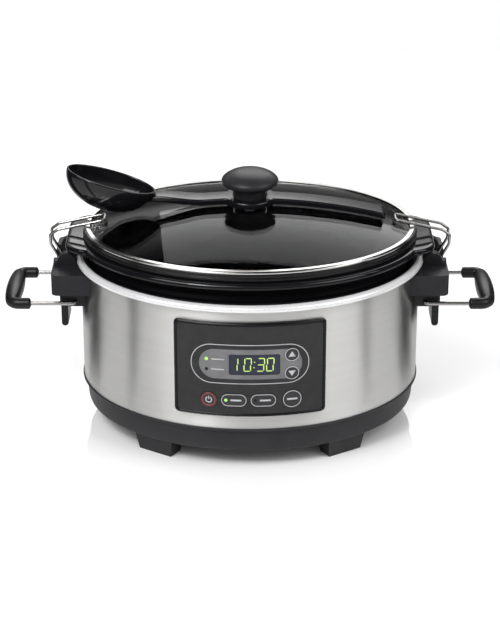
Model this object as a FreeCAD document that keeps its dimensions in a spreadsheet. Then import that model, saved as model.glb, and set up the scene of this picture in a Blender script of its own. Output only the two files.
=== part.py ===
"""Oval slow cooker with a clip-down glass lid, swinging carry handles and a dipper on the lid's knob.

Millimetres. The origin is on the floor under the cooker's centre, +Z up, the control panel faces -Y and
the handles stand at -X and +X. Every oval is an ellipse with its long half along X.
"""
import FreeCAD, Part
import math
import os
import re

PARTS_FOLDER = "parts"
UP = (0, 0, 1)
X_AXIS = FreeCAD.Vector(1, 0, 0)
Y_AXIS = FreeCAD.Vector(0, 1, 0)

# alias: (value, what it is). Half lengths and half widths are measured from the centre line.
DIMENSIONS = {
    "shell_long": (146.0, "steel wrap, outer half length"),
    "shell_short": (122.0, "steel wrap, outer half width"),
    "shell_wall": (0.8, "steel wrap thickness"),
    "shell_low": (39.0, "steel wrap, lower edge"),
    "shell_high": (145.3, "steel wrap, upper edge"),
    "rim_reach": (3.8, "top rim, how far it stands out of the wrap"),
    "rim_high": (150.5, "top rim, crest"),
    "rim_inset": (1.4, "top rim, inner face inside the wrap's face"),
    "base_low": (15.9, "base pan, underside"),
    "base_wall": (2.6, "base pan wall"),
    "base_floor": (3.0, "base pan floor thickness"),
    "lip_low": (37.0, "base pan, underside of the lip under the wrap"),
    "lip_reach": (1.0, "base pan, lip beyond the wrap"),
    "collar_high": (46.0, "base pan, top of the collar inside the wrap"),
    "foot_length": (32.0, "foot along the oval"),
    "foot_width": (14.0, "foot across the oval"),
    "foot_draft": (2.5, "foot, how much it widens to the base on each side"),
    "foot_along": (77.0, "foot centre from the middle along X"),
    "foot_across": (83.5, "foot centre from the middle along Y"),
    "foot_turn": (32.2, "foot angle from X, degrees"),
    "foot_bore": (4.2, "foot, radius of the screw's recess"),
    "screw_shank": (1.9, "case screws, shank radius"),
    "screw_head": (3.6, "case screws, head radius"),
    "boss_radius": (5.0, "screw bosses in the base pan"),
    "well_long": (142.2, "heating well, outer half length at the top"),
    "well_short": (110.2, "heating well, outer half width at the top"),
    "well_wall": (0.8, "heating well thickness"),
    "well_low": (39.6, "heating well, underside of its floor"),
    "well_flange": (147.0, "heating well, top of its flange"),
    "heater_low": (80.0, "heater band, lower edge"),
    "heater_high": (108.0, "heater band, upper edge"),
    "heater_thick": (1.1, "heater band thickness"),
    "crock_long": (139.0, "crock wall under the flange, half length"),
    "crock_short": (107.0, "crock wall under the flange, half width"),
    "crock_low": (40.6, "crock, underside"),
    "crock_wall": (6.0, "crock wall thickness"),
    "crock_floor": (7.0, "crock floor thickness"),
    "flange_low": (160.8, "crock flange, lower edge"),
    "flange_high": (166.0, "crock flange, top"),
    "flange_reach": (10.0, "crock flange beyond the crock's wall"),
    "tab_long": (157.0, "crock's lifting tabs, half length over both"),
    "tab_short": (42.0, "crock's lifting tabs, half width"),
    "tab_corner": (20.0, "crock's lifting tabs, corner radius"),
    "glass_long": (139.0, "lid glass, half length"),
    "glass_short": (107.0, "lid glass, half width"),
    "glass_edge": (173.0, "lid glass, top of its edge"),
    "glass_rise": (20.0, "lid glass, rise of the dome above its edge"),
    "glass_thick": (3.5, "lid glass thickness"),
    "band_reach": (3.0, "lid band beyond the glass"),
    "band_lip": (1.9, "lid band's lip over the glass, inside its edge"),
    "band_high": (174.9, "lid band, top"),
    "gasket_low": (166.2, "lid gasket, underside"),
    "gasket_inset": (5.0, "lid gasket, inner edge inside the glass edge"),
    "neck_radius": (14.3, "knob neck at the glass"),
    "neck_top": (13.4, "knob neck under the cap"),
    "cap_radius": (24.2, "knob cap radius"),
    "cap_low": (208.0, "knob cap, underside"),
    "cap_high": (223.0, "knob cap, top"),
    "bowl_long": (39.0, "dipper bowl, half length at the rim"),
    "bowl_short": (22.0, "dipper bowl, half width at the rim"),
    "bowl_deep": (27.5, "dipper bowl, depth"),
    "bowl_wall": (2.0, "dipper bowl wall"),
    "bowl_x": (-118.0, "dipper bowl, rim centre along X"),
    "bowl_z": (214.0, "dipper bowl, rim centre height"),
    "bowl_tilt": (16.3, "dipper bowl, tilt of the rim, degrees"),
    "bar_end": (115.0, "dipper handle, free end along X"),
    "bar_short": (9.5, "dipper handle, half width"),
    "bar_gap": (2.2, "dipper handle above the glass"),
    "bar_thick": (5.6, "dipper handle thickness"),
    "ring_radius": (22.0, "dipper ring round the knob's neck, outer radius"),
    "ring_slot": (14.7, "dipper ring, half width of its slot"),
    "bracket_short": (45.0, "side bracket, half width"),
    "bracket_long": (168.5, "side bracket, outer face"),
    "bracket_low": (125.7, "side bracket, underside"),
    "bracket_high": (144.0, "side bracket, top"),
    "bracket_corner": (6.0, "side bracket, corner radius"),
    "pad_short": (22.0, "side bracket, raised pad's half width"),
    "pad_high": (148.5, "side bracket, raised pad's top"),
    "hump_x": (156.5, "side bracket, hump centre along X"),
    "hump_z": (147.0, "side bracket, hump centre height"),
    "hump_radius": (8.0, "side bracket, hump radius"),
    "block_short": (30.0, "handle block, half width"),
    "block_long": (163.0, "handle block, outer face"),
    "block_low": (109.5, "handle block, underside"),
    "pocket_x": (155.0, "lever pocket, inner face"),
    "pocket_short": (14.6, "lever pocket, half width"),
    "lug_short": (5.0, "pin lug, half width"),
    "pin_x": (160.5, "lever and clip pin along X"),
    "pin_z": (142.5, "lever and clip pin height"),
    "pin_radius": (1.5, "lever and clip pin radius"),
    "pin_half": (18.0, "lever and clip pin, half length"),
    "pin_fit": (0.08, "running clearance round the pin"),
    "eye_radius": (3.3, "clip eyes, outer radius"),
    "clip_wire": (1.25, "clip wire radius"),
    "clip_short": (7.5, "clip legs, half spacing"),
    "lever_in": (9.8, "lever arms, inner face"),
    "lever_out": (14.0, "lever arms, outer face"),
    "lever_thick": (6.0, "lever thickness"),
    "lever_low": (84.0, "lever, tip"),
    "lever_web": (130.0, "lever, top of the plate that joins its arms"),
    "handle_x": (150.0, "handle pivot along X"),
    "handle_z": (114.0, "handle pivot height"),
    "handle_short": (34.0, "handle legs, half spacing"),
    "handle_wire": (1.8, "handle wire radius"),
    "handle_fit": (0.08, "running clearance of the handle wire in its bracket"),
    "handle_bite": (12.0, "handle wire's bent end from the leg's axis inward"),
    "grip_start": (187.0, "grip, inner end along X"),
    "grip_x": (204.0, "grip, axis along X"),
    "grip_end_radius": (4.7, "grip radius at its ends"),
    "grip_mid_radius": (7.7, "grip radius in the middle"),
    "panel_half": (62.4, "control panel, half width"),
    "panel_low": (51.5, "control panel, lower edge"),
    "panel_high": (135.5, "control panel, upper edge"),
    "panel_corner": (4.0, "control panel, corner radius"),
    "panel_reach": (2.8, "panel bezel beyond the wrap"),
    "panel_frame": (2.6, "panel bezel, width of its frame"),
    "plate_reach": (2.1, "panel plate beyond the wrap"),
    "key_reach": (2.7, "keys beyond the wrap"),
    "key_gap": (0.35, "clearance round a key"),
    "window_x": (3.7, "display window, centre along X"),
    "window_z": (98.7, "display window, centre height"),
    "window_long": (41.4, "display window, width"),
    "window_tall": (18.0, "display window, height"),
    "board_half": (40.0, "control board, half width"),
    "board_back": (-112.4, "control board, rear face along Y"),
    "board_thick": (1.6, "control board thickness"),
    "board_low": (57.0, "control board, lower edge"),
    "board_high": (130.0, "control board, upper edge"),
    "gland_x": (45.0, "cord gland along X"),
    "gland_z": (27.0, "cord gland height"),
    "gland_bore": (3.3, "cord gland, bore radius"),
    "gland_radius": (5.6, "cord gland, barrel radius"),
    "gland_start": (104.0, "cord gland, inner end along Y"),
    "gland_length": (20.5, "cord gland length"),
    "gland_collar": (8.2, "cord gland, collar radius"),
    "gland_collar_start": (112.2, "cord gland, inner face of its collar before it is fitted to the base"),
    "panel_open": (7.0, "wrap's opening behind the panel, inside the panel's edge"),
    "foot_recess": (10.0, "foot, top of the screw's recess"),
    "base_head": (2.4, "case screws, head height"),
    "base_screw_top": (26.0, "case screws, tip height"),
    "bracket_screw_in": (140.75, "bracket screws, inner face of their heads along X"),
    "bracket_screw_out": (152.2, "bracket screws, tips along X"),
    "bracket_head": (1.6, "bracket screws, head thickness"),
    "bracket_screw_y": (20.0, "bracket screws, half spacing"),
    "stud_radius": (2.5, "centre stud radius"),
    "stud_drop": (4.6, "centre stud below the base pan"),
    "nut_radius": (4.7, "centre nut, across its corners, halved"),
    "nut_height": (3.4, "centre nut height"),
    "thermostat_radius": (8.0, "thermostat radius"),
    "thermostat_tall": (6.0, "thermostat height"),
    "fuse_radius": (2.6, "thermal fuse radius"),
    "fuse_half": (8.0, "thermal fuse, half length"),
    "fuse_gap": (4.3, "thermal fuse, axis beyond the heating well"),
    "fuse_z": (92.0, "thermal fuse height"),
    "power_low": (22.4, "power board, underside"),
    "power_high": (24.0, "power board, upper face"),
    "post_radius": (2.4, "power board's posts, radius"),
    "relay_high": (37.0, "relay, top"),
}

# Control keys: name, centre along X, centre height, half width, half height (equal halves make a round key).
KEYS = [
    ("key_up", 34.4, 106.9, 5.8, 5.8),
    ("key_down", 34.4, 90.5, 5.8, 5.8),
    ("key_power", -34.0, 66.2, 6.5, 6.5),
    ("key_program", -13.3, 66.6, 10.4, 5.45),
    ("key_manual", 11.0, 66.6, 10.4, 5.45),
    ("key_enter", 34.8, 66.7, 7.6, 7.6),
]
LED_X = -35.7
LED_HEIGHTS = (103.1, 94.0)
LED_RADIUS = 1.4
FRONT = -132.0  # a plane in front of everything on the panel, where its profiles are drawn

for key_name, key_x, key_z, key_half, key_tall in KEYS:
    DIMENSIONS[key_name + "_x"] = (key_x, key_name + ", centre along X")
    DIMENSIONS[key_name + "_z"] = (key_z, key_name + ", centre height")
    DIMENSIONS[key_name + "_half"] = (key_half, key_name + ", half width")
    DIMENSIONS[key_name + "_tall"] = (key_tall, key_name + ", half height")

doc = FreeCAD.newDocument("SlowCooker")
sheet = doc.addObject("Spreadsheet::Sheet", "Dims")
for row, (alias, (number, note)) in enumerate(DIMENSIONS.items(), start=1):
    sheet.set(f"A{row}", note)
    sheet.set(f"B{row}", str(number))
    sheet.setAlias(f"B{row}", alias)
doc.recompute()

ALIAS = re.compile(r"\b(" + "|".join(sorted(DIMENSIONS, key=len, reverse=True)) + r")\b")
sub_parts = []


def formula(text):
    """An expression on the sheet's cells, written with bare aliases."""
    return ALIAS.sub(r"Dims.\1", str(text))


def make(kind, name, at=(0, 0, 0), turn=None, **sizes):
    """A document object whose sizes and place are bound to the sheet."""
    piece = doc.addObject(kind, name)
    if turn:
        piece.Placement = FreeCAD.Placement(FreeCAD.Vector(), FreeCAD.Rotation(*turn))
    for letter, place in zip("xyz", at):
        piece.setExpression("Placement.Base." + letter, formula(place))
    for size, text in sizes.items():
        piece.setExpression(size, formula(text))
    return piece


def block(name, low, high):
    """A box between two corners."""
    spans = [f"({end}) - ({start})" for start, end in zip(low, high)]
    return make("Part::Box", name, low, Length=spans[0], Width=spans[1], Height=spans[2])


def rod(name, axis, start, length, radius):
    """A cylinder along X, Y or Z from the centre of its first end."""
    turns = {"x": (Y_AXIS, 90), "y": (X_AXIS, -90), "z": None}
    return make("Part::Cylinder", name, start, turns[axis], Radius=radius, Height=length)


def cone(name, low, high, low_radius, high_radius):
    """A cone about the Z axis between two heights."""
    height = f"({high}) - ({low})"
    return make("Part::Cone", name, (0, 0, low), Radius1=low_radius, Radius2=high_radius, Height=height)


def oval(name, long_half, short_half, level):
    """An ellipse at a height."""
    return make("Part::Ellipse", name, (0, 0, level), MajorRadius=long_half, MinorRadius=short_half)


def oval_prism(name, long_half, short_half, low, high):
    """A vertical oval solid."""
    prism = doc.addObject("Part::Extrusion", name)
    prism.Base = oval(name + "_oval", long_half, short_half, low)
    prism.DirMode = "Custom"
    prism.Dir = UP
    prism.Solid = True
    prism.setExpression("LengthFwd", formula(f"({high}) - ({low})"))
    return prism


def oval_stack(name, sections, ruled=True):
    """A solid through ovals given as (long half, short half, height)."""
    stack = doc.addObject("Part::Loft", name)
    stack.Sections = [oval(f"{name}_{step}", *section) for step, section in enumerate(sections)]
    stack.Solid = True
    stack.Ruled = ruled
    return stack


def cut(name, base, *tools):
    """The base with every tool taken away."""
    for step, tool in enumerate(tools, start=1):
        piece = doc.addObject("Part::Cut", name if step == len(tools) else f"{name}_cut_{step}")
        piece.Base = base
        piece.Tool = tool
        base = piece
    return base


def fuse(name, *pieces):
    """One solid from several that touch."""
    piece = doc.addObject("Part::MultiFuse", name)
    piece.Shapes = list(pieces)
    return piece


def common(name, *pieces):
    """What several solids share."""
    piece = doc.addObject("Part::MultiCommon", name)
    piece.Shapes = list(pieces)
    return piece


def group(name, pieces):
    """Separate solids kept as one sub-part."""
    piece = doc.addObject("Part::Compound", name)
    piece.Links = list(pieces)
    return piece


def mirrored(name, source):
    """The same piece on the cooker's other end."""
    piece = doc.addObject("Part::Mirroring", name)
    piece.Source = source
    piece.Normal = X_AXIS
    return piece


def sub_part(piece, label):
    """Registers a finished sub-part under the name of its file."""
    piece.Label = label
    sub_parts.append(piece)
    return piece


def both_ends(piece, label):
    """Registers the piece on the right and its mirror image on the left."""
    sub_part(piece, "right_" + label)
    sub_part(mirrored("left_" + label, piece), "left_" + label)


def rounded_prism(name, upright, centre, halves, corner, start, length):
    """A rounded rectangle swept straight: along +Z from start, or along +Y when upright."""
    core = [f"2 * (({half}) - ({corner}))" for half in halves]
    shift = [f"({middle}) - ({half}) + ({corner})" for middle, half in zip(centre, halves)]
    place = (shift[0], start, shift[1]) if upright else (shift[0], shift[1], start)
    turn = (X_AXIS, 90) if upright else None
    core_plane = make("Part::Plane", name + "_core", place, turn, Length=core[0], Width=core[1])
    outline = make("Part::Offset2D", name + "_outline", Value=corner)
    outline.Source = core_plane
    outline.Join = "Arc"
    prism = doc.addObject("Part::Extrusion", name)
    prism.Base = outline
    prism.DirMode = "Custom"
    prism.Dir = (0, 1, 0) if upright else UP
    prism.Solid = True
    prism.setExpression("LengthFwd", formula(length))
    return prism


def size(alias):
    """A number read from the sheet."""
    return float(sheet.get(alias))


def round_path(name, corners, bend):
    """A path of straight runs joined by tangent arcs of one radius."""
    points = [FreeCAD.Vector(*corner) for corner in corners]
    edges = []
    start = points[0]
    for before, corner, after in zip(points, points[1:], points[2:]):
        inward = (before - corner).normalize()
        onward = (after - corner).normalize()
        reach = bend / math.tan(inward.getAngle(onward) / 2)
        first = corner + inward * reach
        last = corner + onward * reach
        bisector = (inward + onward).normalize()
        middle = corner + bisector * (math.hypot(reach, bend) - bend)
        edges.append(Part.LineSegment(start, first).toShape())
        edges.append(Part.Arc(first, middle, last).toShape())
        start = last
    edges.append(Part.LineSegment(start, points[-1]).toShape())
    path = doc.addObject("Part::Feature", name)
    path.Shape = Part.Wire(edges)
    return path


def bent_wire(name, corners, bend, radius):
    """A round wire along a path of runs and tangent arcs."""
    path = round_path(name + "_path", corners, bend)
    heading = FreeCAD.Vector(*corners[1]) - FreeCAD.Vector(*corners[0])
    ring = doc.addObject("Part::Circle", name + "_section")
    ring.Placement = FreeCAD.Placement(
        FreeCAD.Vector(*corners[0]), FreeCAD.Rotation(FreeCAD.Vector(*UP), heading)
    )
    ring.setExpression("Radius", formula(radius))
    wire = doc.addObject("Part::Sweep", name)
    wire.Sections = [ring]
    wire.Spine = (path, [f"Edge{step + 1}" for step in range(len(path.Shape.Edges))])
    wire.Solid = True
    return wire


# ---------------------------------------------------------------- shell, rim and base

panel_window = block(
    "panel_window",
    ("-(panel_half - panel_open)", FRONT, "panel_low + panel_open"),
    ("panel_half - panel_open", "-100", "panel_high - panel_open"),
)
screw_places = [(1, "bracket_low + 9.5"), (-1, "bracket_low + 9.5"), (1, "block_low + 6"), (-1, "block_low + 6")]
right_bracket_screws = []
for step, (hand, height) in enumerate(screw_places):
    across = f"{hand} * bracket_screw_y"
    start = ("bracket_screw_in", across, height)
    right_bracket_screws.append(
        fuse(
            f"bracket_screw_{step}",
            rod(f"bracket_screw_shank_{step}", "x", start, "bracket_screw_out - bracket_screw_in", "screw_shank"),
            rod(f"bracket_screw_head_{step}", "x", start, "bracket_head", "screw_head"),
        )
    )
right_screw_set = group("right_screw_set", right_bracket_screws)
left_screw_set = mirrored("left_screw_set", right_screw_set)

shell_wrap = sub_part(
    cut(
        "shell_wrap",
        oval_prism("shell_outside", "shell_long", "shell_short", "shell_low", "shell_high"),
        oval_prism(
            "shell_inside", "shell_long - shell_wall", "shell_short - shell_wall", "shell_low", "shell_high"
        ),
        panel_window,
        right_screw_set,
        left_screw_set,
    ),
    "shell_wrap",
)

rim_outside = oval_stack(
    "rim_outside",
    [
        ("shell_long + rim_reach - 0.5", "shell_short + rim_reach - 0.5", "shell_high"),
        ("shell_long + rim_reach", "shell_short + rim_reach", "shell_high + 0.7"),
        ("shell_long + rim_reach", "shell_short + rim_reach", "shell_high + 2.2"),
        ("shell_long + rim_reach - 0.9", "shell_short + rim_reach - 0.9", "rim_high - 1.2"),
        ("shell_long + rim_reach - 2.1", "shell_short + rim_reach - 2.1", "rim_high - 0.3"),
        ("shell_long + rim_reach - 3.4", "shell_short + rim_reach - 3.4", "rim_high"),
    ],
)
top_rim = sub_part(
    cut(
        "top_rim",
        rim_outside,
        oval_prism(
            "rim_inside", "shell_long - rim_inset", "shell_short - rim_inset", "shell_high - 1", "rim_high + 1"
        ),
    ),
    "top_rim",
)

base_skin = fuse(
    "base_skin",
    oval_stack(
        "base_side",
        [
            ("shell_long - 6.6", "shell_short - 6.6", "base_low"),
            ("shell_long - 4.2", "shell_short - 4.2", "base_low + 0.8"),
            ("shell_long - 3.2", "shell_short - 3.2", "base_low + 3"),
            ("shell_long - 2.5", "shell_short - 2.5", "lip_low"),
        ],
    ),
    oval_prism("base_lip", "shell_long + lip_reach", "shell_short + lip_reach", "lip_low", "shell_low"),
    oval_prism(
        "base_collar", "shell_long - shell_wall", "shell_short - shell_wall", "shell_low", "collar_high"
    ),
)
base_hollow = oval_prism(
    "base_hollow",
    "shell_long - 3.4 - base_wall",
    "shell_short - 3.4 - base_wall",
    "base_low + base_floor",
    "collar_high + 1",
)
foot_places = [(side, end) for side in (-1, 1) for end in (-1, 1)]
bosses = []
base_screws = []
feet = []
for step, (side, end) in enumerate(foot_places):
    place = (f"{side} * foot_along", f"{end} * foot_across")
    foot_bottom = make(
        "Part::Plane",
        f"foot_bottom_{step}",
        Length="foot_length",
        Width="foot_width",
    )
    foot_top = make(
        "Part::Plane",
        f"foot_top_{step}",
        Length="foot_length + 2 * foot_draft",
        Width="foot_width + 2 * foot_draft",
    )
    turn = -side * end
    for plane, grow, level in ((foot_bottom, "0", "0"), (foot_top, "foot_draft", "base_low")):
        angle = f"{turn} * foot_turn"
        half_along = f"(foot_length / 2 + {grow})"
        half_across = f"(foot_width / 2 + {grow})"
        plane.setExpression("Placement.Rotation.Angle", formula(angle))
        plane.setExpression(
            "Placement.Base.x",
            formula(f"{place[0]} - {half_along} * cos({angle} * 1deg) + {half_across} * sin({angle} * 1deg)"),
        )
        plane.setExpression(
            "Placement.Base.y",
            formula(f"{place[1]} - {half_along} * sin({angle} * 1deg) - {half_across} * cos({angle} * 1deg)"),
        )
        plane.setExpression("Placement.Base.z", formula(level))
    foot_block = doc.addObject("Part::Loft", f"foot_block_{step}")
    foot_block.Sections = [foot_bottom, foot_top]
    foot_block.Solid = True
    foot_block.Ruled = True
    feet.append(
        cut(
            f"foot_{step}",
            foot_block,
            rod(f"foot_recess_{step}", "z", (*place, "-1"), "foot_recess + 1", "foot_bore"),
            rod(f"foot_hole_{step}", "z", (*place, "0"), "base_low + 1", "screw_shank"),
        )
    )
    bosses.append(rod(f"boss_{step}", "z", (*place, "base_low + 1"), "13", "boss_radius"))
    base_screws.append(
        fuse(
            f"base_screw_{step}",
            rod(f"base_screw_head_{step}", "z", (*place, "foot_recess - base_head"), "base_head", "screw_head"),
            rod(
                f"base_screw_shank_{step}",
                "z",
                (*place, "foot_recess - 1"),
                "base_screw_top - foot_recess + 1",
                "screw_shank",
            ),
        )
    )
base_screw_set = group("base_screw_set", base_screws)
stud = rod("stud", "z", (0, 0, "base_low - stud_drop"), "well_low - base_low + stud_drop", "stud_radius")
gland_place = ("gland_x", "gland_start", "gland_z")
gland_barrel = rod("gland_barrel", "y", gland_place, "gland_length", "gland_radius")
base_pan = sub_part(
    cut(
        "base_pan",
        fuse("base_body", cut("base_shell", base_skin, base_hollow), *bosses),
        base_screw_set,
        stud,
        gland_barrel,
    ),
    "base_pan",
)
sub_part(group("feet", feet), "feet")
sub_part(base_screw_set, "base_screws")
sub_part(stud, "centre_stud")
nut_prism = make(
    "Part::Prism", "nut_prism", (0, 0, "base_low - nut_height"), Circumradius="nut_radius", Height="nut_height"
)
nut_prism.Polygon = 6
sub_part(cut("centre_nut", nut_prism, stud), "centre_nut")
cord_gland = cut(
    "cord_gland",
    fuse(
        "gland_body",
        gland_barrel,
        cut(
            "gland_collar",
            rod("gland_collar_disc", "y", ("gland_x", "gland_collar_start", "gland_z"), "8", "gland_collar"),
            oval_stack(
                "gland_seat",
                [
                    ("shell_long - 3.1", "shell_short - 3.1", "base_low + 2"),
                    ("shell_long - 2.4", "shell_short - 2.4", "lip_low"),
                ],
            ),
        ),
    ),
    rod("gland_hole", "y", ("gland_x", "gland_start - 1", "gland_z"), "gland_length + 2", "gland_bore"),
)
sub_part(cord_gland, "cord_gland")

# ---------------------------------------------------------------- heating well and electrics

well_outside = oval_stack(
    "well_outside",
    [
        ("well_long - 17", "well_short - 17", "well_low"),
        ("well_long - 9", "well_short - 9", "well_low + 5"),
        ("well_long - 3", "well_short - 3", "well_low + 20"),
        ("well_long", "well_short", "well_low + 38"),
        ("well_long", "well_short", "well_flange"),
    ],
)
well_inside = oval_stack(
    "well_inside",
    [
        ("well_long - 17.6", "well_short - 17.6", "well_low + well_wall"),
        ("well_long - 9.8", "well_short - 9.8", "well_low + well_wall + 4.7"),
        ("well_long - 3 - well_wall", "well_short - 3 - well_wall", "well_low + 20"),
        ("well_long - well_wall", "well_short - well_wall", "well_low + 38"),
        ("well_long - well_wall", "well_short - well_wall", "well_flange + 0.5"),
    ],
)
well_flange_plate = oval_prism(
    "well_flange_plate", "shell_long - rim_inset", "shell_short - rim_inset", "shell_high", "well_flange"
)
sub_part(
    cut("heating_well", fuse("well_body", well_outside, well_flange_plate), well_inside), "heating_well"
)
sub_part(
    cut(
        "heater_band",
        oval_prism(
            "heater_outside", "well_long + heater_thick", "well_short + heater_thick", "heater_low", "heater_high"
        ),
        oval_prism("heater_inside", "well_long", "well_short", "heater_low", "heater_high"),
    ),
    "heater_band",
)
sub_part(
    rod("thermostat", "z", ("34", "24", "well_low - thermostat_tall"), "thermostat_tall", "thermostat_radius"),
    "thermostat",
)
sub_part(
    rod("thermal_fuse", "x", ("-fuse_half", "well_short + fuse_gap", "fuse_z"), "2 * fuse_half", "fuse_radius"),
    "thermal_fuse",
)
power_plate = block("power_plate", ("-44", "20", "power_low"), ("8", "66", "power_high"))
power_posts = [
    rod(
        f"power_post_{step}",
        "z",
        (along, across, "base_low + base_floor"),
        "power_low - base_low - base_floor",
        "post_radius",
    )
    for step, (along, across) in enumerate([("-40", "24"), ("4", "24"), ("-40", "62"), ("4", "62")])
]
sub_part(fuse("power_on_posts", power_plate, *power_posts), "power_board")
sub_part(block("relay", ("-36", "30", "power_high"), ("-16", "46", "relay_high")), "relay")

# ---------------------------------------------------------------- control panel


def panel_layer(name, inner, outer):
    """The oval layer between two distances from the wrap's face, over the panel's height."""
    layer = cut(
        name,
        oval_prism(
            name + "_outer", f"shell_long + {outer}", f"shell_short + {outer}", "panel_low - 2", "panel_high + 2"
        ),
        oval_prism(
            name + "_inner", f"shell_long + {inner}", f"shell_short + {inner}", "panel_low - 3", "panel_high + 3"
        ),
    )
    return layer


panel_centre = ("0", "(panel_low + panel_high) / 2")
panel_halves = ("panel_half", "(panel_high - panel_low) / 2")
frame_halves = ("panel_half - panel_frame", "(panel_high - panel_low) / 2 - panel_frame")
reach_in = "60"
bezel_block = rounded_prism("bezel_block", True, panel_centre, panel_halves, "panel_corner", FRONT, reach_in)
frame_block = rounded_prism(
    "frame_block", True, panel_centre, frame_halves, "panel_corner - 1.5", FRONT, reach_in
)
bezel_ring = common("bezel_ring", bezel_block, panel_layer("bezel_layer", "0", "panel_reach"))
sub_part(cut("panel_bezel", bezel_ring, frame_block), "panel_bezel")
window_centre = ("window_x", "window_z")
window_halves = ("window_long / 2", "window_tall / 2")
window_block = rounded_prism("window_block", True, window_centre, window_halves, "1.5", FRONT, reach_in)


def key_profile(name, extra):
    """A key's outline as a prism along Y, grown by a clearance."""
    half, tall = name + "_half", name + "_tall"
    centre = (name + "_x", name + "_z")
    if size(half) == size(tall):
        return rod(f"{name}_round_{extra}", "y", (centre[0], FRONT, centre[1]), reach_in, f"{half} + {extra}")
    halves = (f"{half} + {extra}", f"{tall} + {extra}")
    label = f"{name}_pill_{extra}".replace(".", "_")
    return rounded_prism(label, True, centre, halves, f"({tall} + {extra}) * 0.97", FRONT, reach_in)


key_layer = panel_layer("key_layer", "-0.6", "key_reach")
for key_name, *_ in KEYS:
    sub_part(common(key_name, key_profile(key_name, "0"), key_layer), key_name)
board_front = "board_back - board_thick"
leds = [
    rod(f"indicator_{step}", "y", (LED_X, -121.2, height), f"{board_front} + 121.2", LED_RADIUS)
    for step, height in enumerate(LED_HEIGHTS)
]
led_set = group("led_set", leds)
sub_part(led_set, "indicator_leds")
posts = []
board_screws = []
for step, (along, height) in enumerate([(-37, 79.0), (37, 79.0), (-37, 126.0), (37, 126.0)]):
    posts.append(rod(f"post_{step}", "y", (along, "-119.4", height), f"{board_front} + 119.4", "2.6"))
    board_screws.append(
        fuse(
            f"board_screw_{step}",
            rod(f"board_screw_shank_{step}", "y", (along, "-117.5", height), "board_back + 117.5", "1.1"),
            rod(f"board_screw_head_{step}", "y", (along, "board_back", height), "1.3", "2.2"),
        )
    )
board_screw_set = group("board_screw_set", board_screws)
plate_face = common(
    "plate_face",
    rounded_prism("plate_block", True, panel_centre, frame_halves, "panel_corner - 1.5", FRONT, reach_in),
    panel_layer("plate_layer", "0", "plate_reach"),
)
sub_part(
    cut(
        "panel_plate",
        fuse("plate_with_posts", plate_face, *posts),
        window_block,
        led_set,
        board_screw_set,
        *[key_profile(key_name, "key_gap") for key_name, *_ in KEYS],
    ),
    "panel_plate",
)
sub_part(
    common("display_window", window_block, panel_layer("window_layer", "0.6", "plate_reach - 0.3")),
    "display_window",
)
board = block(
    "board", ("-board_half", board_front, "board_low"), ("board_half", "board_back", "board_high")
)
sub_part(cut("control_board", board, board_screw_set), "control_board")
sub_part(board_screw_set, "board_screws")
sub_part(
    block(
        "display_module",
        ("window_x - 19", "-120.6", "window_z - 8"),
        ("window_x + 19", board_front, "window_z + 8"),
    ),
    "display_module",
)
switches = []
for key_name, key_x, key_z, *_ in KEYS:
    body = block(
        key_name + "_switch_body",
        (f"{key_name}_x - 3", f"{board_front} - 2.2", f"{key_name}_z - 3"),
        (f"{key_name}_x + 3", board_front, f"{key_name}_z + 3"),
    )
    tip = "-116.4" if abs(key_x) > 30 else "-119.4"
    plunger = rod(
        key_name + "_plunger", "y", (f"{key_name}_x", tip, f"{key_name}_z"), f"{board_front} - ({tip})", "1.6"
    )
    switches.append(fuse(key_name + "_switch", body, plunger))
sub_part(group("key_switches", switches), "key_switches")

# ---------------------------------------------------------------- crock

crock_outside = oval_stack(
    "crock_outside",
    [
        ("crock_long - 21", "crock_short - 21", "crock_low"),
        ("crock_long - 12", "crock_short - 12", "crock_low + 5"),
        ("crock_long - 4.5", "crock_short - 4.5", "crock_low + 24"),
        ("crock_long - 1.5", "crock_short - 1.5", "crock_low + 60"),
        ("crock_long", "crock_short", "flange_low"),
    ],
)
crock_inside = oval_stack(
    "crock_inside",
    [
        ("crock_long - crock_wall - 21", "crock_short - crock_wall - 21", "crock_low + crock_floor"),
        ("crock_long - crock_wall - 11", "crock_short - crock_wall - 11", "crock_low + crock_floor + 6"),
        ("crock_long - crock_wall - 4.5", "crock_short - crock_wall - 4.5", "crock_low + 30"),
        ("crock_long - crock_wall - 1.5", "crock_short - crock_wall - 1.5", "crock_low + 60"),
        ("crock_long - crock_wall", "crock_short - crock_wall", "flange_high + 0.5"),
    ],
)
crock_flange = oval_stack(
    "crock_flange",
    [
        ("crock_long + flange_reach - 0.8", "crock_short + flange_reach - 0.8", "flange_low"),
        ("crock_long + flange_reach", "crock_short + flange_reach", "flange_low + 1"),
        ("crock_long + flange_reach", "crock_short + flange_reach", "flange_low + 2.4"),
        ("crock_long + flange_reach - 1.2", "crock_short + flange_reach - 1.2", "flange_high - 1.2"),
        ("crock_long + flange_reach - 4", "crock_short + flange_reach - 4", "flange_high"),
    ],
)
crock_tabs = rounded_prism(
    "crock_tabs", False, ("0", "0"), ("tab_long", "tab_short"), "tab_corner", "flange_low - 0.3", "4.6"
)
sub_part(
    cut("crock", fuse("crock_body", crock_outside, crock_flange, crock_tabs), crock_inside), "crock"
)

# ---------------------------------------------------------------- lid

DOME_STEPS = (1.0, 0.9, 0.76, 0.6, 0.42, 0.24, 0.1)


def dome(name, lift):
    """The dome's surface as a solid, raised by a distance: its height falls with the square of the reach."""
    sections = [
        (f"glass_long * {step}", f"glass_short * {step}", f"glass_edge + glass_rise * {1 - step ** 2:.4f} + {lift}")
        for step in DOME_STEPS
    ]
    return oval_stack(name, sections, ruled=False)


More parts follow.
